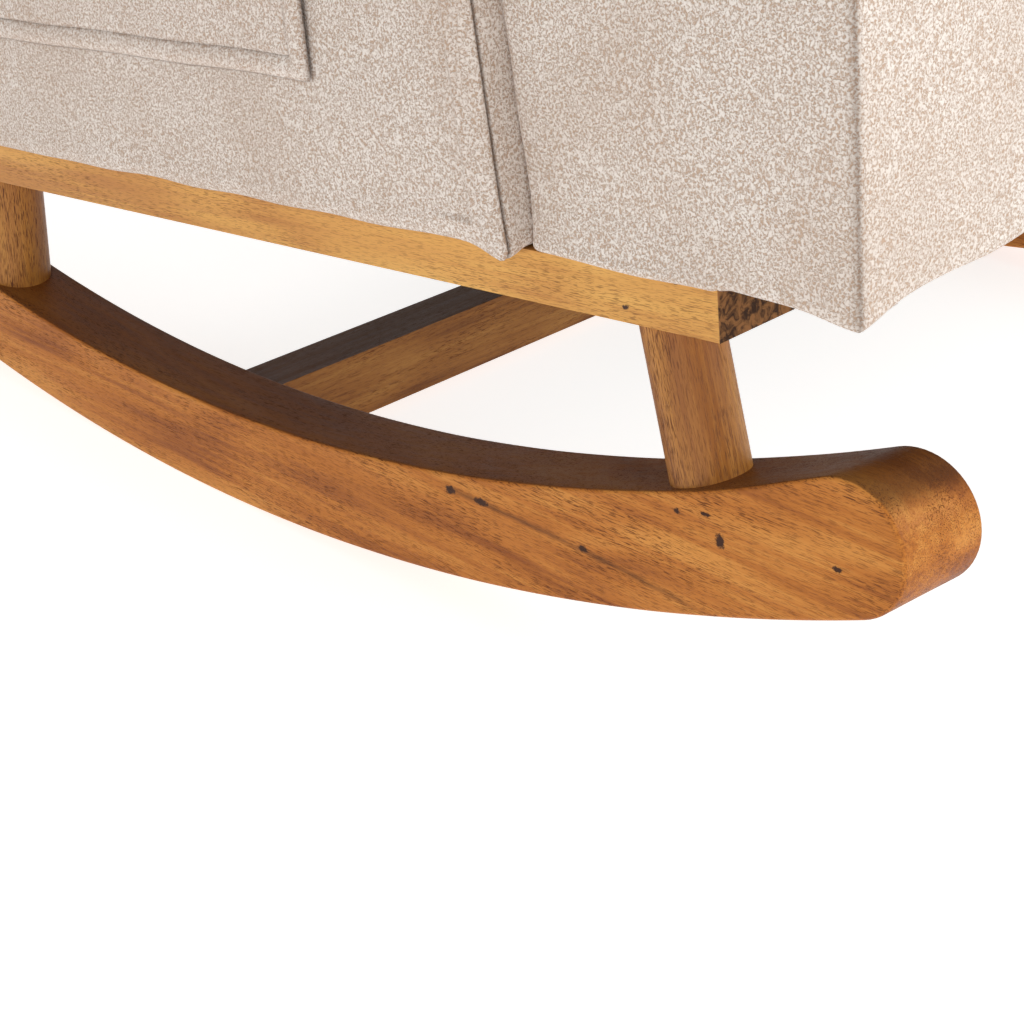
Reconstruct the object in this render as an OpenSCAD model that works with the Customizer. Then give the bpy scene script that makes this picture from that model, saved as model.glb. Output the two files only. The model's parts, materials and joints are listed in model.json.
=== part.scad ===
// Upholstered nursery rocking chair on two wooden rockers.
// Built upright in the chair's own frame, then laid back to the lean at which it comes to rest:
// x across, y from front to back, z up from the underside of the two wooden rails.

/* [Wooden base] */
// Width of the base over the outer faces of the rails
base_w = 640; // [600:5:700]
// Radius of the edge that the rockers roll on
rolling_r = 1142; // [1100:1:1200]
// Depth of a rocker at its lowest point
rocker_depth = 55; // [48:1:62]
// Thickness of a rocker from side to side
rocker_t = 45; // [40:1:50]
// Length of a rail
rail_l = 599; // [590:1:610]
// Width of a rail
rail_w = 50; // [44:1:56]
// Thickness of a rail
rail_t = 24; // [20:1:28]
// Diameter of a leg where it meets its rail
leg_top_d = 36.6; // [32:0.2:40]
// Diameter of a leg at its foot
leg_foot_d = 37.8; // [32:0.2:42]
// Side of the square stretcher between the rockers
stretcher_a = 38; // [30:1:42]

/* [Upholstered body] */
// Height of the deck under the loose cushion
deck_z = 170; // [165:1:180]
// Distance of the seat's front face in front of the rails
seat_overhang = 72; // [60:1:80]
// Depth of the seat box
seat_box_l = 612; // [600:1:615]
// Outer width of an arm
arm_w = 90; // [85:1:100]
// How far an arm stands out beyond its rail
arm_proud = 20; // [15:1:25]
// Height of the top of the arms
arm_z = 445; // [420:5:460]
// Rake of the front edge of the arms, in degrees
arm_rake = 4; // [2:0.5:5]
// Height of the top of the back
back_z = 850; // [800:5:900]
// Lean of the front of the back, in degrees
back_front_lean = 11; // [10:0.5:12]
// Lean of the outside of the back, in degrees
back_rear_lean = 7; // [6:0.5:7.5]
// Padded thickness of the covers
cover_t = 12; // [10:1:13]

/* [Loose seat cushion] */
// Thickness of the cushion
cushion_t = 95; // [80:1:110]
// Radius on the upright corners of the cushion
cushion_corner_r = 22; // [10:1:30]

/* [Rest] */
// Lean at which the empty chair comes to rest, in degrees
rest_lean = 7; // [5:0.05:9]

/* [Hidden] */

// Clearances: between pieces that touch, round bolts, and between the body's covers
gap = 0.2;
bolt_gap = 0.25;
cover_gap = 1;
// Far more than any length in the chair
far = 2000;

// Rolling arc and the arc of the rockers' upper edge, whose centre lies a little lower and further back
half_w = base_w / 2;
arc_c = [270, 981.8];
top_arc_c = arc_c + [16.8, -17];
top_arc_r = rolling_r - rocker_depth - 16.8;
// Angles at which the rockers end, from the foot of the rolling arc
front_end_a = -17.95;
rear_end_a = 27;
// Flats along the arcs and around each end
rolling_steps = 72;
end_steps = 20;

// How far the rails reach in front of y = 0
rail_front_y = 1.5;

// Legs: place on the rail and lean, front and rear
leg_x = half_w - rocker_t / 2;
leg_top_y = [39.3, 559.8];
leg_lean = [-10.2, 8.9];
leg_socket = 14;
leg_bolt_d = 8;
leg_bolt_l = 62;
foot_screw_d = 6;

// Stretcher: rear of the middle, level with the rockers' upper edge
stretcher_y = 386;
stretcher_z = -129;
tenon_a = 24;
tenon_l = 20;

// Seat box
board_t = 18;
board_z = rail_t + 2 * gap;
board_h = deck_z - 30 - board_z;
seat_front_y = -seat_overhang;
seat_rear_y = seat_front_y + seat_box_l;
wing_rear_y = 104;
arm_in_x = half_w + arm_proud - arm_w;
box_half_w = arm_in_x - cover_gap / 2;
box_in_x = box_half_w - cover_t - 1.5;
front_board_y = seat_front_y + cover_t + 2;
rear_board_y = seat_rear_y - cover_t - 2;
deck_wall = 6;
spring_wire_d = 3.8;
spring_z = board_z + board_h + 3.3;
spring_half_w = 24;
spring_bends = 13;
spring_rise = 6;

// Arms
arm_bottom_z = rail_t + 2;
arm_out_x = half_w + arm_proud;
arm_frame_x0 = arm_in_x + 22;
arm_frame_x1 = arm_out_x - 25;
arm_rail_h = 40;
arm_top_r = 55;
panel_t = 3;

// Pocket on each arm's outer face
pocket_y0 = 213;
pocket_y1 = 553;
pocket_z0 = 95;
pocket_z1 = 345;
pocket_mouth = 13;
pocket_foot = 3.5;
pocket_wall = 3;

// Back
back_foot_z = 40;
back_foot_y = seat_rear_y + 60;
back_seat_y = 455;
back_top_front_r = 42;
back_top_rear_r = 30;
shoulder_z = arm_z + 2;
back_half_w = arm_in_x - cover_gap;
frame_t = 28;
frame_inset = cover_t + 1;
stile_x0 = 196;
stile_x1 = 222;
back_foam_t = 45;
webbing_gap = 3;
shoulder_x1 = half_w - cover_t - 8;
top_rail_z = back_z - 72;

// Fasteners
bolt_d = 8;
bolt_head_d = 14;
bolt_head_h = 5;
rail_bolt_x = half_w - 36;
rail_bolt_y = [64, 300, 480];
arm_bolt_y = [200, 420];
arm_bolt_z = 46;
back_bolt_x = 208;
back_bolt_z = [50, 131];

// Cushion
cushion_gap = 0.4;
cushion_z0 = deck_z + cushion_gap;
cushion_rear_y = back_seat_y - 7;
cushion_wing_y = wing_rear_y + 2;
cushion_skin = 3;
zip_half_l = 190;
zip_z = cushion_z0 + cushion_t / 2;

function end_dir(a) = [sin(a), -cos(a)];
// Radius of the round end of a rocker that meets both arcs at angle a
function end_r(a) =
    let (d = arc_c - top_arc_c, k = d * end_dir(a))
    (d * d + 2 * rolling_r * k + rolling_r * rolling_r - top_arc_r * top_arc_r)
        / (2 * (top_arc_r + rolling_r + k));
function end_c(a) = arc_c + (rolling_r - end_r(a)) * end_dir(a);
// Height of the rockers' upper edge at y
function top_edge_z(y) = top_arc_c[1] - sqrt(top_arc_r * top_arc_r - pow(y - top_arc_c[0], 2));
// Outside and front of the back at height z
function back_rear_y(z) = back_foot_y + (z - back_foot_z) * tan(back_rear_lean);
function back_front_y(z) = back_seat_y + (z - deck_z) * tan(back_front_lean);
// Front of the padding of the back at height z, and front of the frame behind it
function pad_front_y(z) = back_front_y(z) + cover_t + 2;
function frame_front_y(z) = pad_front_y(z) + back_foam_t + webbing_gap;
function arm_front_y(z) = wing_rear_y + (z - arm_bottom_z) * tan(arm_rake);

// A point turned from the upright chair to the leaning chair, as [y, z]
function leaned(p) =
    let (q = p - arc_c)
    arc_c + [q[0] * cos(rest_lean) + q[1] * sin(rest_lean), q[1] * cos(rest_lean) - q[0] * sin(rest_lean)];

// Points of an arc of radius r that rounds the corner b between a and c
function round_corner(a, b, c, r) =
    let (
        u = (a - b) / norm(a - b),
        w = (c - b) / norm(c - b),
        half = acos(u * w) / 2,
        o = b + (u + w) / norm(u + w) * r / sin(half),
        s = b + u * r / tan(half) - o,
        e = b + w * r / tan(half) - o,
        from = atan2(s[1], s[0]),
        turn = (atan2(e[1], e[0]) - from + 540) % 360 - 180
    )
    [for (i = [0:8]) o + r * [cos(from + turn * i / 8), sin(from + turn * i / 8)]];
function flat(p) = [p[0], p[1]];
// An outline from corners [y, z, radius]
function outline(p) = [
    for (i = [0:len(p) - 1])
        let (a = flat(p[(i + len(p) - 1) % len(p)]), b = flat(p[i]), c = flat(p[(i + 1) % len(p)]))
            each p[i][2] > 0 ? round_corner(a, b, c, p[i][2]) : [b]
];

back_profile = outline([
    [seat_rear_y + 2, back_foot_z, 0],
    [seat_rear_y + 2, deck_z + 2, 0],
    [back_front_y(deck_z + 2), deck_z + 2, 0],
    [back_front_y(back_z), back_z, back_top_front_r],
    [back_rear_y(back_z), back_z, back_top_rear_r],
    [back_foot_y, back_foot_z, 0]
]);
arm_profile = outline([
    [arm_front_y(arm_bottom_z), arm_bottom_z, 0],
    [arm_front_y(arm_z), arm_z, arm_top_r],
    [back_rear_y(arm_z), arm_z, arm_top_r / 2],
    [back_rear_y(arm_bottom_z), arm_bottom_z, 0]
]);
seat_plan = [
    [-half_w, seat_front_y], [half_w, seat_front_y], [half_w, wing_rear_y - 1],
    [box_half_w, wing_rear_y - 1], [box_half_w, seat_rear_y], [-box_half_w, seat_rear_y],
    [-box_half_w, wing_rear_y - 1], [-half_w, wing_rear_y - 1]
];
cushion_plan = [
    [-half_w + 2, seat_front_y + 1], [half_w - 2, seat_front_y + 1], [half_w - 2, cushion_wing_y],
    [box_half_w - 1, cushion_wing_y], [box_half_w - 1, cushion_rear_y], [-box_half_w + 1, cushion_rear_y],
    [-box_half_w + 1, cushion_wing_y], [-half_w + 2, cushion_wing_y]
];

// Middle of the leaning chair from front to back, between its furthest points
front_reach = leaned(end_c(front_end_a))[0] - end_r(front_end_a);
rocker_reach = leaned(end_c(rear_end_a))[0] + end_r(rear_end_a);
back_reach = max([for (p = back_profile) leaned(p)[0]]);
middle_y = (front_reach + max(rocker_reach, back_reach)) / 2;

// Lays the upright chair back about the centre of the rolling arc and sets it on the floor
module at_rest() {
    translate([0, arc_c[0] - middle_y, rolling_r])
        rotate([-rest_lean, 0, 0])
            translate([0, -arc_c[0], -arc_c[1]])
                children();
}

// Side -1 is the left as seen from the front, side 1 the right
module on_side(side) {
    if (side < 0)
        mirror([1, 0, 0]) children();
    else
        children();
}

module box(x0, x1, y0, y1, z0, z1) {
    translate([x0, y0, z0]) cube([x1 - x0, y1 - y0, z1 - z0]);
}

// A shape drawn in y and z, and carried across from x0 to x1
module across(x0, x1) {
    translate([x0, 0, 0]) rotate([90, 0, 90]) linear_extrude(x1 - x0) children();
}

module rod_x(x0, x1, y, z, d) {
    translate([x0, y, z]) rotate([0, 90, 0]) cylinder(d = d, h = x1 - x0, $fn = 48);
}

module rod_y(x, y0, y1, z, d) {
    translate([x, y0, z]) rotate([-90, 0, 0]) cylinder(d = d, h = y1 - y0, $fn = 48);
}

module rod_z(x, y, z0, z1, d) {
    translate([x, y, z0]) cylinder(d = d, h = z1 - z0, $fn = 48);
}

// Angle of the direction from the upper arc's centre to the centre of the round end at angle a
function upper_a(a) = let (d = end_c(a) - top_arc_c) atan2(d[1], d[0]);
function arc_points(c, r, from, to, n) = [
    for (i = [0:n - 1]) let (a = from + (to - from) * i / n) c + r * [cos(a), sin(a)]
];

// Outline of a rocker: rolling edge, rear end, upper edge, front end
rocker_outline = concat(
    arc_points(arc_c, rolling_r, front_end_a - 90, rear_end_a - 90, rolling_steps),
    arc_points(end_c(rear_end_a), end_r(rear_end_a), rear_end_a - 90, upper_a(rear_end_a) + 180, end_steps),
    arc_points(top_arc_c, top_arc_r, upper_a(rear_end_a), upper_a(front_end_a), rolling_steps),
    arc_points(end_c(front_end_a), end_r(front_end_a), upper_a(front_end_a) + 180, front_end_a + 270,
        end_steps)
);

module rocker_blank() {
    across(half_w - rocker_t, half_w) polygon(rocker_outline);
}

// Carries a shape drawn with its axis along z to the line of a leg, with z = 0 at the rail
module on_leg(i) {
    translate([leg_x, leg_top_y[i], 0]) rotate([leg_lean[i], 0, 0]) children();
}

// Length of a leg along its axis, from the rail to the rocker's upper edge
function leg_l(i) =
    let (foot_y = leg_top_y[i] + tan(leg_lean[i]) * -top_edge_z(leg_top_y[i]))
    -top_edge_z(foot_y) / cos(leg_lean[i]);

module rocker(side) {
    color("peru") at_rest() on_side(side)
        difference() {
            rocker_blank();
            for (i = [0, 1])
                on_leg(i) {
                    rod_z(0, 0, -leg_l(i) - leg_socket, -20, leg_foot_d + 2 * bolt_gap);
                    rod_z(0, 0, -leg_l(i) - far / 10, -leg_l(i), foot_screw_d + 2 * bolt_gap);
                    rod_z(0, 0, -leg_l(i) - far / 10, -leg_l(i) - rocker_depth + 12, 13);
                }
            box(half_w - rocker_t - 1, half_w - rocker_t + tenon_l + gap,
                stretcher_y - tenon_a / 2 - gap, stretcher_y + tenon_a / 2 + gap,
                stretcher_z - tenon_a / 2 - gap, stretcher_z + tenon_a / 2 + gap);
        }
}

module rail(side) {
    color("burlywood") at_rest() on_side(side)
        difference() {
            box(half_w - rail_w, half_w, -rail_front_y, rail_l, 0, rail_t);
            for (i = [0, 1])
                on_leg(i) {
                    rod_z(0, 0, -10, far / 10, leg_bolt_d + 2 * bolt_gap);
                    rod_z(0, 0, rail_t - bolt_head_h - 3, far / 10, bolt_head_d + 4);
                }
            for (y = rail_bolt_y) rod_z(rail_bolt_x, y, -1, rail_t + 1, bolt_d + 2 * bolt_gap);
        }
}

module leg(side, i) {
    color("sienna") at_rest() on_side(side)
        difference() {
            on_leg(i)
                translate([0, 0, -leg_l(i) - leg_socket + gap])
                    cylinder(d1 = leg_foot_d, d2 = leg_top_d, h = leg_l(i) + leg_socket + 20, $fn = 96);
            box(0, far, -far, far, -gap / 2, far);
            on_leg(i) {
                rod_z(0, 0, -leg_bolt_l, far / 10, leg_bolt_d + 2 * bolt_gap);
                rod_z(0, 0, -leg_l(i) - leg_socket - 1, -leg_bolt_l - 12, foot_screw_d + 2 * bolt_gap);
            }
        }
}

module cross_stretcher() {
    color("saddlebrown") at_rest() {
        box(-half_w + rocker_t + gap, half_w - rocker_t - gap,
            stretcher_y - stretcher_a / 2, stretcher_y + stretcher_a / 2,
            stretcher_z - stretcher_a / 2, stretcher_z + stretcher_a / 2);
        box(-half_w + rocker_t - tenon_l, half_w - rocker_t + tenon_l,
            stretcher_y - tenon_a / 2, stretcher_y + tenon_a / 2,
            stretcher_z - tenon_a / 2, stretcher_z + tenon_a / 2);
    }
}

// Bolts that hold the legs up against the rails, with their heads sunk in the rails
module leg_bolts() {
    color("dimgray") at_rest()
        for (side = [-1, 1], i = [0, 1])
            on_side(side) on_leg(i) {
                rod_z(0, 0, -leg_bolt_l + 1, rail_t - bolt_head_h - 2, leg_bolt_d);
                rod_z(0, 0, rail_t - bolt_head_h - 2, rail_t - 3, bolt_head_d);
            }
}

// Screws up through the rockers into the feet of the legs
module foot_screws() {
    color("dimgray") at_rest()
        for (side = [-1, 1], i = [0, 1])
            on_side(side) on_leg(i) {
                rod_z(0, 0, -leg_l(i) - rocker_depth + 13, -leg_bolt_l - 14, foot_screw_d);
                translate([0, 0, -leg_l(i) - rocker_depth + 8.5])
                    cylinder(d = 12, h = 3.3, $fn = 48);
                translate([0, 0, -leg_l(i) - rocker_depth + 8.5])
                    cylinder(d = foot_screw_d, h = 6, $fn = 48);
            }
}

// Bolts up through the rails into the body, and their tee nuts
module rail_bolts() {
    color("dimgray") at_rest()
        for (side = [-1, 1], y = rail_bolt_y)
            on_side(side) {
                rod_z(rail_bolt_x, y, -bolt_head_h - gap, -gap, bolt_head_d);
                rod_z(rail_bolt_x, y, -gap - 1, board_z + 34, bolt_d);
            }
}

module rail_tee_nuts() {
    color("silver") at_rest()
        for (side = [-1, 1], y = rail_bolt_y)
            on_side(side)
                difference() {
                    union() {
                        rod_z(rail_bolt_x, y, board_z + 40 + gap, board_z + 42, 18);
                        rod_z(rail_bolt_x, y, board_z + 26, board_z + 41, 11);
                    }
                    rod_z(rail_bolt_x, y, board_z, board_z + 60, bolt_d + 2 * bolt_gap);
                }
}

// Room for the tee nuts and bolts in whatever stands on a rail
module rail_bolt_room(picked) {
    for (i = picked) {
        rod_z(rail_bolt_x, rail_bolt_y[i], 0, board_z + 60, bolt_d + 2 * bolt_gap);
        rod_z(rail_bolt_x, rail_bolt_y[i], board_z + 26 - gap, board_z + 60, 11 + 2 * bolt_gap);
    }
}

module board(x0, x1, y0, y1) {
    box(x0, x1, y0, y1, board_z, board_z + board_h);
}

module seat_front_board() {
    color("wheat") at_rest()
        board(-half_w + cover_t + 2, half_w - cover_t - 2, front_board_y, front_board_y + board_t);
}

module seat_rear_board() {
    color("wheat") at_rest()
        difference() {
            board(-box_in_x, box_in_x, rear_board_y - board_t, rear_board_y);
            back_bolt_holes();
        }
}

module seat_side_board(side) {
    color("wheat") at_rest() on_side(side)
        difference() {
            board(box_in_x - board_t, box_in_x, front_board_y + board_t + gap, rear_board_y - board_t - gap);
            arm_bolt_holes();
        }
}

// Board behind each front corner of the seat: an L that returns to the side board
module wing_board(side) {
    color("wheat") at_rest() on_side(side) {
        board(half_w - cover_t - 14, half_w - cover_t - 2, front_board_y + board_t + gap, wing_rear_y - 14);
        board(box_in_x + gap, half_w - cover_t - 2, wing_rear_y - 26, wing_rear_y - 14);
    }
}

// Hardwood blocks that the front rail bolts pull down on
module wing_blocks() {
    color("burlywood") at_rest()
        for (side = [-1, 1])
            on_side(side)
                difference() {
                    box(box_in_x + 25, half_w - cover_t - 14 - gap, 15, wing_rear_y - 26 - gap,
                        board_z, board_z + 40);
                    rail_bolt_room([0]);
                }
}

module seat_corner_blocks() {
    x = box_in_x - board_t - gap;
    color("burlywood") at_rest()
        for (side = [-1, 1])
            on_side(side)
                translate([0, 0, 72])
                    linear_extrude(42) {
                        y0 = front_board_y + board_t + gap;
                        polygon([[x, y0], [x - 60, y0], [x, y0 + 60]]);
                        y1 = rear_board_y - board_t - gap;
                        polygon([[x, y1], [x, y1 - 60], [x - 60, y1]]);
                    }
}

spring_x = [-165, -55, 55, 165];
spring_y0 = front_board_y + board_t / 2;
spring_y1 = rear_board_y - board_t / 2;
ring_sides = 6;
rings_per_bend = 5;

// Centre line of a sinuous spring at t from 0 to 1: straight at its ends, snaking and arched between
function spring_point(t) =
    let (swing = min(1, 14 * t, 14 * (1 - t)))
    [
        spring_half_w * swing * sin(180 * spring_bends * t),
        spring_y0 + (spring_y1 - spring_y0) * t,
        spring_z + spring_rise * sin(180 * t)
    ];

// One spring: rings of points square to the centre line, joined into a tube
module sinuous_spring() {
    n = spring_bends * rings_per_bend;
    points = [
        for (i = [0:n])
            let (
                t = i / n,
                p = spring_point(t),
                d = spring_point(min(1, t + 0.002)) - spring_point(max(0, t - 0.002)),
                side = cross(d, [0, 0, 1]) / norm(cross(d, [0, 0, 1])),
                up = cross(side, d) / norm(cross(side, d))
            )
            for (j = [0:ring_sides - 1])
                p + spring_wire_d / 2 * (cos(360 * j / ring_sides) * side + sin(360 * j / ring_sides) * up)
    ];
    walls = [
        for (i = [0:n - 1], j = [0:ring_sides - 1])
            let (k = (j + 1) % ring_sides)
            [i * ring_sides + j, i * ring_sides + k, (i + 1) * ring_sides + k, (i + 1) * ring_sides + j]
    ];
    ends = [
        [for (j = [ring_sides - 1:-1:0]) j],
        [for (j = [0:ring_sides - 1]) n * ring_sides + j]
    ];
    polyhedron(points, concat(walls, ends));
}

module seat_springs() {
    color("slategray") at_rest()
        for (x = spring_x) translate([x, 0, 0]) sinuous_spring();
}

// Folded steel clips that hold the ends of the springs on the boards
module spring_clips() {
    z0 = board_z + board_h + gap / 2;
    color("silver") at_rest()
        for (x = spring_x, end = [0, 1])
            translate([x, end == 0 ? spring_y0 : spring_y1, 0])
                mirror([0, end, 0])
                    difference() {
                        box(-9, 9, -8, 6, z0, z0 + 6.4);
                        box(-10, 10, -6.5, 7, z0 + 1, z0 + 5.5);
                    }
}

module deck_felt() {
    color("gray") at_rest()
        box(-box_in_x, box_in_x, front_board_y, rear_board_y, spring_z + 8.3, spring_z + 11);
}

module deck_foam() {
    color("khaki") at_rest()
        box(-box_in_x, box_in_x, front_board_y, rear_board_y, spring_z + 11.2, deck_z - deck_wall - gap);
}

module dust_cover() {
    z0 = rail_t - 0.6;
    color("black") at_rest() {
        box(-half_w + rail_w + 2, half_w - rail_w - 2, front_board_y, rear_board_y, z0, z0 + 0.8);
        box(-half_w + cover_t + 2, half_w - cover_t - 2, front_board_y, -2, z0, z0 + 0.8);
    }
}

// Padded cover of the seat box: open below, with the deck on top
module seat_cover() {
    color("antiquewhite") at_rest()
        difference() {
            translate([0, 0, rail_t + gap]) linear_extrude(deck_z - rail_t - gap) polygon(seat_plan);
            translate([0, 0, rail_t - 10])
                linear_extrude(deck_z - deck_wall - rail_t + 10)
                    offset(delta = -cover_t) polygon(seat_plan);
            for (side = [-1, 1]) on_side(side) arm_bolt_holes();
            back_bolt_holes();
        }
}

// Arms
module arm_post(side, y0) {
    lean = y0 > 300 ? back_rear_lean : arm_rake;
    z0 = board_z + arm_rail_h + gap;
    z1 = arm_z - cover_t - 2 - arm_rail_h - gap;
    color("wheat") at_rest() on_side(side)
        across(arm_frame_x0, arm_frame_x1)
            polygon([
                [y0, z0], [y0 + 40, z0],
                [y0 + 40 + (z1 - z0) * tan(lean), z1], [y0 + (z1 - z0) * tan(lean), z1]
            ]);
}

module arm_top_rail(side) {
    z1 = arm_z - cover_t - 2;
    color("wheat") at_rest() on_side(side)
        box(arm_frame_x0, arm_frame_x1, arm_front_y(arm_z) + arm_top_r,
            back_rear_y(arm_z) - cover_t - 25, z1 - arm_rail_h, z1);
}

module arm_bottom_rail(side) {
    color("wheat") at_rest() on_side(side)
        difference() {
            box(arm_frame_x0, arm_frame_x1, wing_rear_y + cover_t + 4, back_foot_y - cover_t - 6,
                board_z, board_z + arm_rail_h);
            rail_bolt_room([1, 2]);
            arm_bolt_holes();
        }
}

// Hardboard panel that carries the cover and the pocket
module arm_panel(side) {
    color("sienna") at_rest() on_side(side)
        across(arm_frame_x1 + gap, arm_frame_x1 + gap + panel_t)
            polygon([
                [wing_rear_y + cover_t + 8, board_z], [back_foot_y - cover_t - 8, board_z],
                [back_rear_y(arm_z - 60) - cover_t - 8, arm_z - 60],
                [back_rear_y(arm_z - 60) - cover_t - 30, arm_z - 20],
                [arm_front_y(arm_z) + 50, arm_z - 20],
                [arm_front_y(arm_z - 60) + cover_t + 8, arm_z - 60]
            ]);
}

module arm_cover(side) {
    color("antiquewhite") at_rest() on_side(side)
        difference() {
            across(arm_in_x, arm_out_x) polygon(arm_profile);
            across(arm_in_x + cover_t, arm_out_x - cover_t) offset(delta = -cover_t) polygon(arm_profile);
            box(arm_in_x + cover_t, arm_out_x - cover_t, wing_rear_y + cover_t + 1, back_foot_y - cover_t - 2,
                0, arm_bottom_z + cover_t + 5);
            arm_bolt_holes();
        }
}

// Patch pocket: closed at the foot and sides, open at the top, and slack towards its mouth
module pocket(side) {
    x0 = arm_out_x + gap;
    color("bisque") at_rest() on_side(side)
        translate([x0, pocket_y1, 0])
            rotate([90, 0, 0])
                difference() {
                    linear_extrude(pocket_y1 - pocket_y0)
                        polygon([
                            [0, pocket_z0], [pocket_foot, pocket_z0],
                            [pocket_mouth, pocket_z1], [0, pocket_z1]
                        ]);
                    translate([0, 0, pocket_wall])
                        linear_extrude(pocket_y1 - pocket_y0 - 2 * pocket_wall)
                            polygon([
                                [-1, pocket_z0 + pocket_wall], [pocket_foot - 2.6, pocket_z0 + pocket_wall],
                                [pocket_mouth - 2.6, pocket_z1 + 1], [-1, pocket_z1 + 1]
                            ]);
                }
}

module arm_bolts() {
    color("dimgray") at_rest()
        for (side = [-1, 1], y = arm_bolt_y)
            on_side(side) {
                x = box_in_x - board_t - gap;
                rod_x(x - bolt_head_h, x, y, arm_bolt_z, bolt_head_d);
                rod_x(x - 1, arm_frame_x0 + 33, y, arm_bolt_z, bolt_d);
            }
}

module arm_bolt_holes() {
    for (y = arm_bolt_y)
        rod_x(box_in_x - board_t - 5, arm_frame_x0 + 35, y, arm_bolt_z, bolt_d + 2 * bolt_gap);
}

// Back: a sloping frame member between heights z0 and z1, set in from the outside of the back
module sloped(x0, x1, z0, z1) {
    across(x0, x1)
        polygon([
            [back_rear_y(z0) - frame_inset - frame_t, z0], [back_rear_y(z0) - frame_inset, z0],
            [back_rear_y(z1) - frame_inset, z1], [back_rear_y(z1) - frame_inset - frame_t, z1]
        ]);
}

// Stile: a tapered board that stands behind the seat box and carries the webbing on its front edge
module back_stile(side) {
    z0 = back_foot_z + 4;
    z1 = deck_z + cover_t + 4;
    z2 = top_rail_z - gap;
    foot_y = seat_rear_y + cover_t + 4;
    color("wheat") at_rest() on_side(side)
        difference() {
            across(stile_x0, stile_x1)
                polygon([
                    [foot_y, z0], [back_rear_y(z0) - frame_inset, z0],
                    [back_rear_y(z2) - frame_inset, z2], [frame_front_y(z2), z2],
                    [frame_front_y(z1), z1], [foot_y, z1]
                ]);
            back_bolt_holes();
        }
}

// Post for the part of the back that stands out over the arms
module shoulder_post(side) {
    color("wheat") at_rest() on_side(side) {
        sloped(shoulder_x1 - 24, shoulder_x1, shoulder_z + 20, top_rail_z - gap);
        sloped(stile_x1 + gap, shoulder_x1, shoulder_z + 20, shoulder_z + 50);
    }
}

module back_top_rail() {
    color("wheat") at_rest()
        sloped(-shoulder_x1, shoulder_x1, top_rail_z, top_rail_z + 38);
}

module back_lower_rail() {
    color("wheat") at_rest()
        sloped(-stile_x0 + gap, stile_x0 - gap, deck_z + 10, deck_z + 50);
}

// A slab that follows the front of the back, from depth y0 to y1 behind the front of the padding
module front_slab(half, z0, z1, y0, y1) {
    across(-half, half)
        polygon([
            [pad_front_y(z0) + y0, z0], [pad_front_y(z0) + y1, z0],
            [pad_front_y(z1) + y1, z1], [pad_front_y(z1) + y0, z1]
        ]);
}

module back_webbing() {
    color("gainsboro") at_rest()
        for (z = [260:110:700])
            front_slab(stile_x1 - 2, z, z + 50, back_foam_t + 0.5, back_foam_t + webbing_gap - 0.5);
}

module back_foam() {
    z1 = back_z - cover_t - 24;
    color("khaki") at_rest() {
        front_slab(box_in_x, deck_z + cover_t + 4, z1, 0, back_foam_t);
        front_slab(half_w - cover_t - 2, shoulder_z + cover_t + 2, z1, 0, back_foam_t);
    }
}

module back_bolts() {
    color("dimgray") at_rest()
        for (side = [-1, 1], z = back_bolt_z)
            on_side(side) {
                y = rear_board_y - board_t - gap;
                rod_y(back_bolt_x, y - bolt_head_h, y, z, bolt_head_d);
                rod_y(back_bolt_x, y - 1, back_foot_y - frame_inset - 8, z, bolt_d);
            }
}

module back_bolt_holes() {
    for (side = [-1, 1], z = back_bolt_z)
        on_side(side)
            rod_y(back_bolt_x, rear_board_y - board_t - 5, back_foot_y - frame_inset - 6, z,
                bolt_d + 2 * bolt_gap);
}

// Outline of the back above height z
module back_above(z) {
    intersection() {
        polygon(back_profile);
        translate([0, z]) square([far, far]);
    }
}

// Padded cover of the back: narrow between the arms, full width above them, open below
module back_cover() {
    color("antiquewhite") at_rest()
        difference() {
            union() {
                across(-back_half_w, back_half_w) polygon(back_profile);
                across(-half_w, half_w) back_above(shoulder_z);
            }
            across(-back_half_w + cover_t, back_half_w - cover_t)
                offset(delta = -cover_t) polygon(back_profile);
            across(-half_w + cover_t, half_w - cover_t) offset(delta = -cover_t) back_above(shoulder_z);
            box(-back_half_w + cover_t, back_half_w - cover_t,
                seat_rear_y + 2 + cover_t, back_foot_y - cover_t + 1, 0, back_foot_z + cover_t + 5);
            back_bolt_holes();
        }
}

// Loose cushion, cut in a T to pass in front of the arms
module cushion_shape(inset) {
    offset(r = cushion_corner_r - inset, $fn = 32)
        offset(delta = -cushion_corner_r)
            polygon(cushion_plan);
}

module seat_cushion() {
    color("antiquewhite") at_rest()
        difference() {
            translate([0, 0, cushion_z0]) linear_extrude(cushion_t) cushion_shape(0);
            translate([0, 0, cushion_z0 + cushion_skin])
                linear_extrude(cushion_t - 2 * cushion_skin) cushion_shape(cushion_skin);
        }
}

module cushion_core() {
    color("khaki") at_rest()
        translate([0, 0, cushion_z0 + cushion_skin + gap])
            linear_extrude(cushion_t - 2 * cushion_skin - 2 * gap) cushion_shape(cushion_skin + gap);
}

// Zip across the rear of the cushion: tape with a raised row of teeth
module cushion_zip() {
    y = cushion_rear_y + 0.1;
    color("tan") at_rest() {
        box(-zip_half_l - 6, zip_half_l + 6, y, y + 1, zip_z - 9, zip_z + 9);
        box(-zip_half_l, zip_half_l, y + 0.9, y + 2.5, zip_z - 1.6, zip_z + 1.6);
    }
}

// Slider at the left end of the zip, with its pull hanging down
module zip_slider() {
    y = cushion_rear_y + 0.1;
    color("silver") at_rest()
        translate([-zip_half_l + 8, 0, 0]) {
            difference() {
                box(-6, 6, y + 1.2, y + 4, zip_z - 4.5, zip_z + 4.5);
                box(-7, 7, y, y + 2.8, zip_z - 2, zip_z + 2);
            }
            box(-2.5, 2.5, y + 3.9, y + 5.2, zip_z - 22, zip_z + 2);
        }
}

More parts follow.
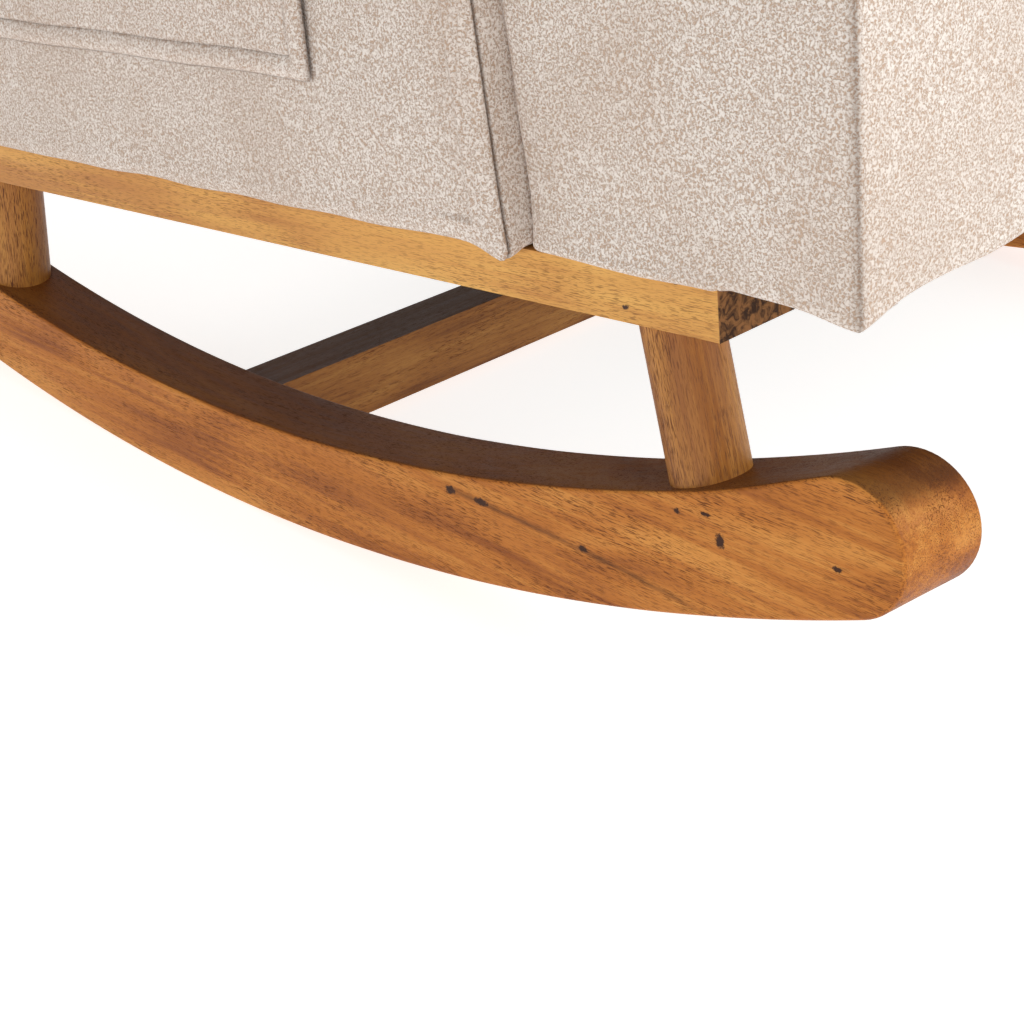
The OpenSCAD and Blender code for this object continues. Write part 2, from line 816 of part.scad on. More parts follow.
rocker(-1);  // left_rocker
rocker(1);  // right_rocker
rail(-1);  // left_rail
rail(1);  // right_rail
leg(-1, 0);  // left_front_leg
leg(-1, 1);  // left_rear_leg
leg(1, 0);  // right_front_leg
leg(1, 1);  // right_rear_leg
cross_stretcher();
leg_bolts();
foot_screws();
rail_bolts();
rail_tee_nuts();
seat_front_board();
seat_rear_board();
seat_side_board(-1);  // left_seat_board
seat_side_board(1);  // right_seat_board
wing_board(-1);  // left_wing_board
wing_board(1);  // right_wing_board
wing_blocks();
seat_corner_blocks();
seat_springs();
spring_clips();
deck_felt();
deck_foam();
dust_cover();
seat_cover();
arm_post(-1, wing_rear_y + cover_t + 12);  // left_arm_front_post
arm_post(-1, back_foot_y - cover_t - 50);  // left_arm_rear_post
arm_top_rail(-1);  // left_arm_top_rail
arm_bottom_rail(-1);  // left_arm_bottom_rail
arm_panel(-1);  // left_arm_panel
arm_cover(-1);  // left_arm_cover
pocket(-1);  // left_pocket
arm_post(1, wing_rear_y + cover_t + 12);  // right_arm_front_post
arm_post(1, back_foot_y - cover_t - 50);  // right_arm_rear_post
arm_top_rail(1);  // right_arm_top_rail
arm_bottom_rail(1);  // right_arm_bottom_rail
arm_panel(1);  // right_arm_panel
arm_cover(1);  // right_arm_cover
pocket(1);  // right_pocket
arm_bolts();
back_stile(-1);  // left_back_stile
back_stile(1);  // right_back_stile
shoulder_post(-1);  // left_shoulder_post
shoulder_post(1);  // right_shoulder_post
back_top_rail();
back_lower_rail();
back_webbing();
back_foam();
back_cover();
back_bolts();
seat_cushion();
cushion_core();
cushion_zip();
zip_slider();
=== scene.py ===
# %% [markdown]
# # A nursery rocking chair, piece by piece
#
# The chair is an upholstered body standing on two curved wooden runners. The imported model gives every
# size; this lesson adds what the eye sees: timber with its pores and knots, and woven cloth over padding.
# All shapes are written in the chair's own frame, in millimetres: x across, y from front to back, z up from
# the underside of the two rails. One function then lays the whole chair back to its resting lean.

import json
import math

import bpy
import numpy as np
from mathutils import Matrix


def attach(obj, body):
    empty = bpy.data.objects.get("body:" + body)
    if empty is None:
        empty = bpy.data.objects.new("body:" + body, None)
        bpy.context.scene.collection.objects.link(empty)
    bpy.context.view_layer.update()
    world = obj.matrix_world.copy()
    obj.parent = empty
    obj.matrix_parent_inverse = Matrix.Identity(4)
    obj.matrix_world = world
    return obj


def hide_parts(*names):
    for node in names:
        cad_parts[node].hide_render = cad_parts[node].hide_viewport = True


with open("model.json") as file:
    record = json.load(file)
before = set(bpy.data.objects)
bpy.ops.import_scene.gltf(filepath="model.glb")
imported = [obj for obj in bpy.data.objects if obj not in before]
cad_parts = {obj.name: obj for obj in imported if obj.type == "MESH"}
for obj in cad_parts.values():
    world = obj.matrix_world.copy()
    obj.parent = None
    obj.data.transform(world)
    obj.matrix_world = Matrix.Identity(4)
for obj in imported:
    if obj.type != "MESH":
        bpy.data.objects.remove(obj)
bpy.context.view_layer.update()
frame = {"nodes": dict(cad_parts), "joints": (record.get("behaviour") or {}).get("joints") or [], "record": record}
nodes = frame["nodes"]
record = frame["record"]
lift_axis = next(j["axis"] for j in frame["joints"] if j["name"] == "cushion_lift")
LEAN = math.atan2(lift_axis[1], lift_axis[2])
CONTACT_Y = record["mounts"][0]["pos_m"][1]
ARC_Y, ARC_Z, ROLL_R = 270.0, 981.8, 1142.0
print("nodes", len(nodes), "lean", round(math.degrees(LEAN), 2), "contact", CONTACT_Y)


# %% [markdown]
# ## From the upright chair to the leaning chair
#
# An empty rocking chair rolls back until its weight is over the point where the runners touch the floor.
# The lean is a turn about the centre of the rolling arc, so a rigid turn and a shift carry any point over.

# %% The turn, for points and for directions
def to_row(p):
    """Chair millimetres to metres on the floor.

    Shift to the rolling arc's centre, turn back by the lean, drop to the floor.
    """
    p = np.asarray(p, float)
    y, z = (p[..., 1] - ARC_Y) / 1000, (p[..., 2] - ARC_Z) / 1000
    c, s = math.cos(LEAN), math.sin(LEAN)
    return np.stack([p[..., 0] / 1000, y * c + z * s + CONTACT_Y, z * c - y * s + ROLL_R / 1000], -1)


def to_chair(q):
    """Row metres back to chair millimetres: the inverse turn and shift."""
    q = np.asarray(q, float)
    y, z = q[..., 1] - CONTACT_Y, q[..., 2] - ROLL_R / 1000
    c, s = math.cos(LEAN), math.sin(LEAN)
    return np.stack([q[..., 0] * 1000, (y * c - z * s) * 1000 + ARC_Y, (y * s + z * c) * 1000 + ARC_Z], -1)


print("front foot of the rails", to_row([0, 0, 0]).round(4))


# %% [markdown]
# ## Small tools for shapes
#
# A piece is a grid of points: rows along one parameter, columns along the other. Cloth is never quite even,
# so a sum of slow sine waves in random directions moves the surface by a fraction of a millimetre or so.

# %% Surfaces from grids
def ripple(p, size, amount, seed):
    """Smooth unevenness: fourteen sine waves in random directions, about size long, scaled to amount."""
    rng = np.random.default_rng(seed)
    k = rng.normal(size=(14, 3))
    k *= (2 * math.pi / size * rng.uniform(0.6, 1.4, 14) / np.linalg.norm(k, axis=1))[:, None]
    return amount * np.sin(p @ k.T + rng.uniform(0, 2 * math.pi, 14)).sum(-1) / math.sqrt(14)


def bump(x, middle, width):
    """A bell: exp(-((x - middle) / width) squared)."""
    return np.exp(-(((x - middle) / width) ** 2))


def make(name, points, faces, material, body="chair", seam=None, sharp=None):
    """A mesh object from chair points in millimetres and faces."""
    points = to_row(points).reshape(-1, 3)
    mesh = bpy.data.meshes.new(name)
    mesh.from_pydata(points.tolist(), [], faces)
    mesh.update()
    mesh.polygons.foreach_set("use_smooth", np.ones(len(mesh.polygons), bool))
    if sharp:
        mesh.set_sharp_from_angle(angle=math.radians(sharp))
    # seam carries painted shade for seam grooves and stitch lines, and a slight even darkening of the corded
    # welts; the chenille darkens by it.
    if seam is not None:
        layer = mesh.attributes.new("seam", "FLOAT", "POINT")
        layer.data.foreach_set("value", np.asarray(seam, np.float32).ravel())
    mesh.materials.append(material)
    obj = bpy.data.objects.new(name, mesh)
    bpy.context.scene.collection.objects.link(obj)
    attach(obj, body)
    return obj


def grid_faces(rows, cols, wrap, flip=False):
    """Four-sided faces between neighbours of a grid; wrap joins the last column to the first."""
    idx = np.arange(rows * cols).reshape(rows, cols)
    nxt = np.roll(idx, -1, 1) if wrap else idx[:, 1:]
    cur = idx if wrap else idx[:, :-1]
    quads = np.stack([cur[:-1], nxt[:-1], nxt[1:], cur[1:]], -1).reshape(-1, 4)
    return (quads[:, ::-1] if flip else quads).tolist()


def volume(points, faces):
    """Signed volume under the four-sided faces, seen from the origin: positive when they face outward."""
    quads = np.array([f for f in faces if len(f) == 4])
    a, b, c, d = (points[quads[:, i]] for i in range(4))
    return (np.einsum("ij,ij->i", a, np.cross(b, c)) + np.einsum("ij,ij->i", a, np.cross(c, d))).sum() / 6


def tube_of_rings(name, rings, material, seam=None, sharp=None):
    """A closed solid from a stack of closed rings, with the first and last ring filled."""
    rows, cols = rings.shape[:2]
    pts = rings.reshape(-1, 3)
    faces = grid_faces(rows, cols, True)
    if volume(pts - pts.mean(0), faces) < 0:
        faces = [f[::-1] for f in faces]
        caps = [list(range(cols)), list(range(rows * cols - 1, (rows - 1) * cols - 1, -1))]
    else:
        caps = [list(range(cols - 1, -1, -1)), list(range((rows - 1) * cols, rows * cols))]
    return make(name, pts, faces + caps, material, seam=seam, sharp=sharp)


def rounded(corners, radii, step, inset=0.0):
    """A closed outline [n, 2] through corners moved in by inset, each rounded to its radius, about step apart.

    The number of points depends only on the outline without inset, so outlines of one shape join up.
    """
    corners, radii = np.asarray(corners, float), np.asarray(radii, float)
    x, y = corners.T
    left = np.sign((x * np.roll(y, -1) - y * np.roll(x, -1)).sum())

    def arcs(d):
        """The nine points of each corner's round, with the outline moved in by d."""
        along = unit(np.roll(corners, -1, 0) - corners)
        into = left * np.stack([-along[:, 1], along[:, 0]], -1)
        before, into_before = np.roll(along, 1, 0), np.roll(into, 1, 0)
        cosine = (into * into_before).sum(1)
        moved = corners + d * (into + into_before) / (1 + cosine)[:, None]
        turn = left * np.arctan2(before[:, 0] * along[:, 1] - before[:, 1] * along[:, 0],
                                 (before * along).sum(1))
        out = []
        for b, n, t, r in zip(moved, into_before, turn, radii):
            r = max(0.4, r - d) if t > 0 else -(r + d)
            o = b + r * (n + into[len(out)]) / (1 + cosine[len(out)])
            start = math.atan2(*(-n * np.sign(r))[::-1])
            angle = start + left * t * np.linspace(0, 1, 9)
            out.append(o + abs(r) * np.stack([np.cos(angle), np.sin(angle)], -1))
        return out

    plain_arcs, moved_arcs = arcs(0.0), arcs(inset)
    pts = []
    for i, bend in enumerate(moved_arcs):
        nxt = (i + 1) % len(moved_arcs)
        n = max(1, int(np.linalg.norm(plain_arcs[nxt][0] - plain_arcs[i][-1]) / step))
        t = np.linspace(0, 1, n + 1)[1:-1, None]
        pts += [bend, bend[-1] + (moved_arcs[nxt][0] - bend[-1]) * t]
    return np.concatenate(pts)


def unit(rows):
    """Each row divided by its length."""
    return rows / np.linalg.norm(rows, axis=1)[:, None]


def inward(outline):
    """Unit normals that point into a closed outline [n, 2]."""
    tangent = unit(np.roll(outline, -1, 0) - np.roll(outline, 1, 0))
    normal = np.stack([-tangent[:, 1], tangent[:, 0]], -1)
    x, y = outline.T
    area = (x * np.roll(y, -1) - y * np.roll(x, -1)).sum()
    return normal * np.sign(area)


print("shape tools ready")

# %% [markdown]
# ## Camera, floor and light
#
# The view is from the front left of the chair and a little above its runners, with a long lens. A white
# floor and a white room give the soft, nearly shadowless light of a studio table. The brighter lamp stands
# in front, so the front of the seat box is the lightest face.

# %% Camera
VIEW_LEAN = math.radians(6.86)
EXTRA = LEAN - VIEW_LEAN


def leaned_more(v):
    """A direction turned back by the small difference between the chair's lean and the view's."""
    c, s = math.cos(EXTRA), math.sin(EXTRA)
    return np.array([v[0], v[1] * c + v[2] * s, v[2] * c - v[1] * s])


azimuth, elevation = math.radians(45.95), math.radians(28.82)
forward = leaned_more([math.sin(azimuth) * math.cos(elevation), math.cos(azimuth) * math.cos(elevation),
                       -math.sin(elevation)])
right = leaned_more([math.cos(azimuth), -math.sin(azimuth), 0])
up = np.cross(right, forward)
camera = bpy.data.objects.new("camera", bpy.data.cameras.new("camera"))
camera.data.lens = 73.92
camera.data.sensor_width = 36
bpy.context.scene.collection.objects.link(camera)
place = np.eye(4)
place[:3, 0], place[:3, 1], place[:3, 2] = right, up, -forward
place[:3, 3] = to_row([-948.2, -528.9, 295.4])
camera.matrix_world = Matrix(place.tolist())
bpy.context.scene.camera = camera
print("camera at", place[:3, 3].round(3))


# %% Light and floor
def lamp(name, where, target, size, power, colour):
    """A soft square lamp at where, turned to face target."""
    data = bpy.data.lights.new(name, "AREA")
    data.size, data.energy, data.color = size, power, colour
    obj = bpy.data.objects.new(name, data)
    bpy.context.scene.collection.objects.link(obj)
    d = np.array(target, float) - np.array(where, float)
    z = -d / np.linalg.norm(d)
    x = np.cross([0, 0, 1], z)
    x /= np.linalg.norm(x)
    m = np.eye(4)
    m[:3, 0], m[:3, 1], m[:3, 2], m[:3, 3] = x, np.cross(z, x), z, where
    obj.matrix_world = Matrix(m.tolist())


bpy.context.scene.view_settings.view_transform = "Standard"
lamp("key", (0.5, -2.6, 1.5), (0, -0.2, 0.2), 1.6, 42, (1.0, 0.985, 0.96))
lamp("side", (-2.6, -0.9, 0.9), (-0.2, 0, 0.15), 1.4, 16, (1.0, 0.99, 0.97))
world = bpy.data.worlds.new("studio")
bpy.context.scene.world = world
world.use_nodes = True
world.node_tree.nodes["Background"].inputs["Color"].default_value = (1, 1, 1, 1)

ring_r = np.array([0.0, 1.0, 2.0, 4.0, 8.0, 14.0])
ring_a = np.linspace(0, 2 * math.pi, 64, endpoint=False)
floor_pts = np.stack([ring_r[:, None] * np.cos(ring_a), ring_r[:, None] * np.sin(ring_a),
                      np.zeros((6, 64))], -1)
floor_mesh = bpy.data.meshes.new("floor")
floor_mesh.from_pydata(floor_pts.reshape(-1, 3).tolist(), [], grid_faces(6, 64, True, True))
floor = bpy.data.objects.new("floor", floor_mesh)
bpy.context.scene.collection.objects.link(floor)
paper = bpy.data.materials.new("floor_paper")
paper.use_nodes = True
for key, value in {"Base Color": (0.62, 0.62, 0.62, 1), "Roughness": 1.0, "Specular IOR Level": 0.0,
                   "Emission Color": (1, 0.995, 0.985, 1), "Emission Strength": 0.78}.items():
    paper.node_tree.nodes["Principled BSDF"].inputs[key].default_value = value
floor_mesh.materials.append(paper)
room = world.node_tree
light_path = room.nodes.new("ShaderNodeLightPath")
dim = room.nodes.new("ShaderNodeMapRange")
dim.inputs["To Min"].default_value = 0.42
room.links.new(light_path.outputs["Is Camera Ray"], dim.inputs["Value"])
room.links.new(dim.outputs["Result"], room.nodes["Background"].inputs["Strength"])
print("studio ready")


# %% [markdown]
# ## Timber and cloth
#
# The timber is an orange-brown hardwood, oiled to a satin finish. What tells it from plain brown is a slow
# change of tone along the board, fine fibres, and short dark pores that all lie along the grain. The cloth is
# an oatmeal chenille: fat pale threads wander over a brown ground about one and a half millimetres apart.
# Each effect is a group with named inputs, so one group serves every board and every cover.

# %% Tools for shaders
def add(tree, kind, inputs=None, **props):
    """A node with its properties set and each input either set or linked."""
    node = tree.nodes.new(kind)
    for key, value in props.items():
        setattr(node, key, value)
    for key, value in (inputs or {}).items():
        if isinstance(value, bpy.types.NodeSocket):
            tree.links.new(value, node.inputs[key])
        else:
            node.inputs[key].default_value = value
    return node


def calc(tree, operation, a, b=0.0, c=0.0):
    """One arithmetic step on numbers."""
    return add(tree, "ShaderNodeMath", {0: a, 1: b, 2: c}, operation=operation).outputs[0]


def step_range(tree, value, low, high, to_low=0.0, to_high=1.0):
    """value carried from low..high to to_low..to_high, smoothly and held at the ends."""
    node = add(tree, "ShaderNodeMapRange", {"Value": value, "From Min": low, "From Max": high, "To Min": to_low,
                                            "To Max": to_high}, interpolation_type="SMOOTHSTEP")
    return node.outputs["Result"]


def blend_colour(tree, factor, a, b):
    """Colour a turned to colour b by factor."""
    return add(tree, "ShaderNodeMix", {0: factor, 6: a, 7: b}, data_type="RGBA").outputs[2]


def stretched(tree, point, scale):
    """point with each axis scaled by its own number."""
    return add(tree, "ShaderNodeVectorMath", {0: point, 1: scale}, operation="MULTIPLY").outputs[0]


def noise(tree, point, detail=2.0, rough=0.5, distortion=0.0, scale=1.0):
    """Noise from 0 to 1 at point."""
    return add(tree, "ShaderNodeTexNoise", {"Vector": point, "Scale": scale, "Detail": detail,
                                            "Roughness": rough, "Distortion": distortion}).outputs["Fac"]


def group(name, inputs, outputs):
    """An empty shader group with named sockets: (tree, its input sockets, its output sockets)."""
    tree = bpy.data.node_groups.new(name, "ShaderNodeTree")
    for label, kind, value in inputs:
        socket = tree.interface.new_socket(label, in_out="INPUT", socket_type="NodeSocket" + kind)
        if value is not None:
            socket.default_value = value
    for label, kind in outputs:
        tree.interface.new_socket(label, in_out="OUTPUT", socket_type="NodeSocket" + kind)
    return tree, tree.nodes.new("NodeGroupInput").outputs, tree.nodes.new("NodeGroupOutput").inputs


def rgba(c):
    """A colour as three numbers, with full opacity."""
    return (*c, 1.0)


# %% The chair's own frame, for patterns
chair_point, _, out = group("ChairPoint", [], [("Point", "Vector")])
c, s = math.cos(LEAN), math.sin(LEAN)
turn = add(chair_point, "ShaderNodeMapping", {
    "Vector": add(chair_point, "ShaderNodeTexCoord").outputs["Object"],
    "Location": (0, ARC_Y / 1000 - CONTACT_Y * c + ROLL_R / 1000 * s,
                 ARC_Z / 1000 - CONTACT_Y * s - ROLL_R / 1000 * c),
    "Rotation": (LEAN, 0, 0)})
chair_point.links.new(turn.outputs[0], out["Point"])

# %% Timber: tone, fibres, growth lines and pores along y
timber, ins, out = group("Timber", [
    ("Point", "Vector", None), ("Pale", "Color", (0.5, 0.25, 0.1, 1)), ("Mid", "Color", (0.4, 0.16, 0.05, 1)),
    ("Dark", "Color", (0.2, 0.07, 0.02, 1)), ("Pore", "Color", (0.11, 0.03, 0.008, 1)),
    ("Pores", "Float", 0.8), ("Seed", "Float", 0.0)],
    [("Color", "Color"), ("Roughness", "Float"), ("Height", "Float")])
p = add(timber, "ShaderNodeVectorMath", {0: ins["Point"], 1: ins["Seed"]}, operation="ADD").outputs[0]
figure = noise(timber, stretched(timber, p, (30, 2.6, 30)), 3, 0.55, 0.7)
fibre = noise(timber, stretched(timber, p, (330, 9, 330)), 4, 0.65)
waver = noise(timber, stretched(timber, p, (9, 2.0, 9)), 2)
lines = calc(timber, "SINE", calc(timber, "ADD", calc(timber, "MULTIPLY", waver, 60.0),
                                  calc(timber, "MULTIPLY", fibre, 2.5)))
tone = calc(timber, "ADD", calc(timber, "MULTIPLY", figure, 0.62), calc(timber, "MULTIPLY", fibre, 0.38))
tone = calc(timber, "ADD", tone, calc(timber, "MULTIPLY", lines, 0.035))
deep = blend_colour(timber, step_range(timber, tone, 0.34, 0.52), ins["Dark"], ins["Mid"])
tint = blend_colour(timber, step_range(timber, tone, 0.48, 0.66), deep, ins["Pale"])
pore = step_range(timber, noise(timber, stretched(timber, p, (1500, 120, 1500)), 1, 0.5), 0.61, 0.70)
fine = step_range(timber, noise(timber, stretched(timber, p, (2300, 150, 2300)), 2, 0.6),
                  0.53, 0.64, 0.0, 0.85)
patch = step_range(timber, noise(timber, stretched(timber, p, (60, 12, 60)), 1), 0.35, 0.65, 0.5, 1.0)
pore = calc(timber, "MULTIPLY", calc(timber, "MAXIMUM", pore, fine), patch)
pore = calc(timber, "MULTIPLY", pore, ins["Pores"])
timber.links.new(blend_colour(timber, pore, tint, ins["Pore"]), out["Color"])
timber.links.new(calc(timber, "ADD", calc(timber, "MULTIPLY", pore, 0.3),
                      step_range(timber, fibre, 0.3, 0.7, 0.36, 0.5)), out["Roughness"])
timber.links.new(calc(timber, "SUBTRACT", calc(timber, "MULTIPLY", fibre, 0.35), pore), out["Height"])

# %% Knot: a dark spot with a broken edge
knot, ins, out = group("Knot", [("Point", "Vector", None), ("Centre", "Vector", (0, 0, 0)),
                                ("Size", "Vector", (0, 200, 200))], [("Mask", "Float")])
away = add(knot, "ShaderNodeVectorMath", {0: ins["Point"], 1: ins["Centre"]}, operation="SUBTRACT").outputs[0]
away = add(knot, "ShaderNodeVectorMath", {0: away, 1: ins["Size"]}, operation="MULTIPLY").outputs[0]
reach = add(knot, "ShaderNodeVectorMath", {0: away}, operation="LENGTH").outputs["Value"]
ragged = noise(knot, ins["Point"], 3, 0.65, 0.3, 520.0)
reach = calc(knot, "ADD", reach, calc(knot, "MULTIPLY", calc(knot, "SUBTRACT", ragged, 0.5), 1.7))
knot.links.new(step_range(knot, reach, 0.55, 1.1, 1.0, 0.0), out["Mask"])

# %% Chenille: wandering pale threads over a brown ground
chenille, ins, out = group("Chenille", [
    ("Point", "Vector", None), ("Thread", "Color", (0.8, 0.72, 0.66, 1)),
    ("Ground", "Color", (0.4, 0.25, 0.15, 1)), ("Scale", "Float", 880.0), ("Seam", "Float", 0.0)],
    [("Color", "Color"), ("Roughness", "Float"), ("Height", "Float")])
worm = noise(chenille, ins["Point"], 1.0, 0.5, 0.7, ins["Scale"])
thread = step_range(chenille, worm, 0.33, 0.62)
hair = noise(chenille, ins["Point"], 2.0, 0.6, 0.0, 2600.0)
nap = noise(chenille, stretched(chenille, ins["Point"], (14, 14, 9)), 3, 0.55, 0.4)
cloth = blend_colour(chenille, thread, ins["Ground"], ins["Thread"])
cloth = blend_colour(chenille, step_range(chenille, hair, 0.35, 0.75, 0.0, 0.16), cloth,
                     rgba((0.95, 0.93, 0.9)))
cloth = blend_colour(chenille, step_range(chenille, nap, 0.40, 0.68, 0.0, 0.2), cloth, ins["Ground"])
# Painted shade: where the mesh marks a seam groove or stitch line, the cloth is turned towards a near black brown.
cloth = blend_colour(chenille, calc(chenille, "MULTIPLY", ins["Seam"], 0.85), cloth,
                     rgba((0.10, 0.055, 0.03)))
chenille.links.new(cloth, out["Color"])
chenille.links.new(step_range(chenille, worm, 0.3, 0.7, 0.98, 0.86), out["Roughness"])
chenille.links.new(calc(chenille, "ADD", thread, calc(chenille, "MULTIPLY", hair, 0.35)), out["Height"])
print("groups", [g.name for g in bpy.data.node_groups])


# %% Materials made from the groups
# The streak on the near runner follows z = STREAK_Z + STREAK_SLOPE d + STREAK_BEND d squared, in metres,
# with d the distance behind STREAK_Y.
STREAK_Y, STREAK_Z, STREAK_SLOPE, STREAK_BEND = 0.101, -0.116, 0.1342, -0.2707


def material(name, slot_rough=0.5):
    """An empty material: (material, its tree, its Principled node)."""
    mat = bpy.data.materials.new(name)
    mat.use_nodes = True
    shader = mat.node_tree.nodes["Principled BSDF"]
    shader.inputs["Roughness"].default_value = slot_rough
    return mat, mat.node_tree, shader


def use(tree, which, inputs):
    """A group node of that tree with its inputs set or linked."""
    return add(tree, "ShaderNodeGroup", inputs, node_tree=which)


def raised(tree, shader, height, distance, strength=1.0):
    """Relief on the shader from a height of 0 to 1 that stands for distance in metres."""
    node = add(tree, "ShaderNodeBump", {"Height": height, "Distance": distance, "Strength": strength})
    tree.links.new(node.outputs["Normal"], shader.inputs["Normal"])


def wood(name, grain, pale, mid, dark, pores=0.8, seed=0.0, gloss=0.35, knots=(), streak=False, raw_end=False,
         painted_top_shade=0.0):
    """Oiled hardwood with its grain turned by the angle grain about x, the marks of its own board, and, if asked,
    painted shade on faces that look upward.
    """
    mat, tree, shader = material(name)
    point = use(tree, chair_point, {}).outputs["Point"]
    turned = grain if isinstance(grain, tuple) else (grain, 0, 0)
    along = add(tree, "ShaderNodeMapping", {"Vector": point,
                                            "Rotation": [math.radians(a) for a in turned]}).outputs[0]
    board = use(tree, timber, {"Point": along, "Pale": rgba(pale), "Mid": rgba(mid), "Dark": rgba(dark),
                               "Pores": pores, "Seed": seed})
    colour, rough = board.outputs["Color"], board.outputs["Roughness"]
    parts = add(tree, "ShaderNodeSeparateXYZ", {0: point}).outputs
    masks = [use(tree, knot, {"Point": point, "Centre": (0, y / 1000, z / 1000),
                              "Size": (0, 1000 / ry, 1000 / rz)}).outputs["Mask"] for y, z, ry, rz in knots]
    if streak:
        away = calc(tree, "SUBTRACT", parts["Y"], STREAK_Y)
        line = calc(tree, "ADD", calc(tree, "MULTIPLY", away, STREAK_SLOPE), STREAK_Z)
        bend = calc(tree, "MULTIPLY", calc(tree, "MULTIPLY", away, away), STREAK_BEND)
        line = calc(tree, "ADD", line, bend)
        off = calc(tree, "ABSOLUTE", calc(tree, "SUBTRACT", parts["Z"], line))
        wander = noise(tree, stretched(tree, point, (0, 60, 200)), 3)
        off = calc(tree, "ADD", off, calc(tree, "MULTIPLY", wander, 0.004))
        band = step_range(tree, off, 0.0016, 0.0044, 0.6, 0.0)
        ends = calc(tree, "MULTIPLY", step_range(tree, parts["Y"], 0.0, 0.05),
                    step_range(tree, parts["Y"], 0.185, 0.16))
        masks.append(calc(tree, "MULTIPLY", band, ends))
    for mask in masks:
        colour = blend_colour(tree, mask, colour, rgba((0.045, 0.014, 0.005)))
    # Painted shade: faces that look upward are turned towards a deep brown and made less glossy, standing in for
    # the shade under the chair body.
    if painted_top_shade:
        facing = add(tree, "ShaderNodeSeparateXYZ", {0: add(tree, "ShaderNodeNewGeometry").outputs["Normal"]})
        colour = blend_colour(tree, step_range(tree, facing.outputs["Z"], 0.62, 0.9, 0.0, painted_top_shade), colour,
                              rgba((0.075, 0.027, 0.007)))
        gloss = 0.18
    if raw_end:
        end = step_range(tree, parts["Y"], -0.0013, -0.0008, 1.0, 0.0)
        blotch = noise(tree, point, 3, 0.65, 0.8, 190.0)
        ringed = blend_colour(tree, step_range(tree, blotch, 0.36, 0.62), rgba((0.045, 0.018, 0.007)),
                              rgba((0.30, 0.13, 0.042)))
        colour = blend_colour(tree, end, colour, ringed)
        rough = calc(tree, "MAXIMUM", rough, calc(tree, "MULTIPLY", end, 0.92))
    tree.links.new(colour, shader.inputs["Base Color"])
    tree.links.new(rough, shader.inputs["Roughness"])
    shader.inputs["Specular IOR Level"].default_value = gloss
    raised(tree, shader, board.outputs["Height"], 0.00012)
    return mat


def fabric(name, thread_colour, ground, scale=880.0):
    """Matte chenille with a soft sheen at grazing angles, dark where the mesh marks a seam: painted shade in seam
    grooves and along stitch lines.
    """
    mat, tree, shader = material(name)
    point = use(tree, chair_point, {}).outputs["Point"]
    seam = add(tree, "ShaderNodeAttribute", attribute_name="seam", attribute_type="GEOMETRY").outputs["Fac"]
    weave = use(tree, chenille, {"Point": point, "Thread": rgba(thread_colour), "Ground": rgba(ground),
                                 "Scale": scale, "Seam": seam})
    tree.links.new(weave.outputs["Color"], shader.inputs["Base Color"])
    tree.links.new(weave.outputs["Roughness"], shader.inputs["Roughness"])
    for key, value in {"Specular IOR Level": 0.12, "Sheen Weight": 0.18, "Sheen Roughness": 0.5}.items():
        shader.inputs[key].default_value = value
    raised(tree, shader, weave.outputs["Height"], 0.0005, 0.8)
    return mat


def plain(name, low, high, scale, rough, metal=0.0, relief=0.0002, stretch=(1, 1, 1)):
    """A hidden or small piece's finish: two tones of noise, with relief."""
    mat, tree, shader = material(name, rough)
    point = use(tree, chair_point, {}).outputs["Point"]
    grain = noise(tree, stretched(tree, point, stretch), 4, 0.6, 0.2, scale)
    tree.links.new(blend_colour(tree, step_range(tree, grain, 0.3, 0.7), rgba(low), rgba(high)),
                   shader.inputs["Base Color"])
    tree.links.new(step_range(tree, grain, 0.3, 0.7, rough - 0.08, min(1.0, rough + 0.08)),
                   shader.inputs["Roughness"])
    shader.inputs["Metallic"].default_value = metal
    raised(tree, shader, grain, relief)
    return mat


# The runners and the stretcher get painted shade on their upward faces, which lie in the shade under the chair.
rocker_mat = wood("rocker_oil", -6, (0.62, 0.259, 0.053), (0.47, 0.158, 0.024), (0.25, 0.067, 0.01), 0.9, 0.0,
                  knots=[(174, -108, 4.2, 2.6), (153, -109.5, 6.0, 2.4), (87, -117, 3.6, 2.0),
                         (4, -91, 2.6, 4.4), (-58, -88, 3.0, 1.6), (28, -83, 1.8, 1.5), (12, -80.5, 3.4, 1.1)],
                  streak=True, painted_top_shade=0.72)
far_rocker_mat = wood("far_rocker_oil", -5, (0.6, 0.25, 0.051), (0.45, 0.149, 0.024), (0.24, 0.063, 0.01),
                      0.9, 3.7, painted_top_shade=0.72)
rail_mat = wood("rail_oil", 0, (0.74, 0.403, 0.102), (0.66, 0.326, 0.073), (0.5, 0.206, 0.04), 0.6, 1.3,
                knots=[(50, 7, 2.2, 1.2), (21, 23, 1.6, 1.4)], raw_end=True)
front_leg_mat = wood("front_leg_oil", -90 + 10.2, (0.58, 0.278, 0.059), (0.45, 0.187, 0.034),
                     (0.27, 0.091, 0.015), 1.0, 5.1)
rear_leg_mat = wood("rear_leg_oil", -90 - 8.9, (0.5, 0.23, 0.046), (0.38, 0.149, 0.026),
                    (0.21, 0.067, 0.011), 1.0, 7.9)
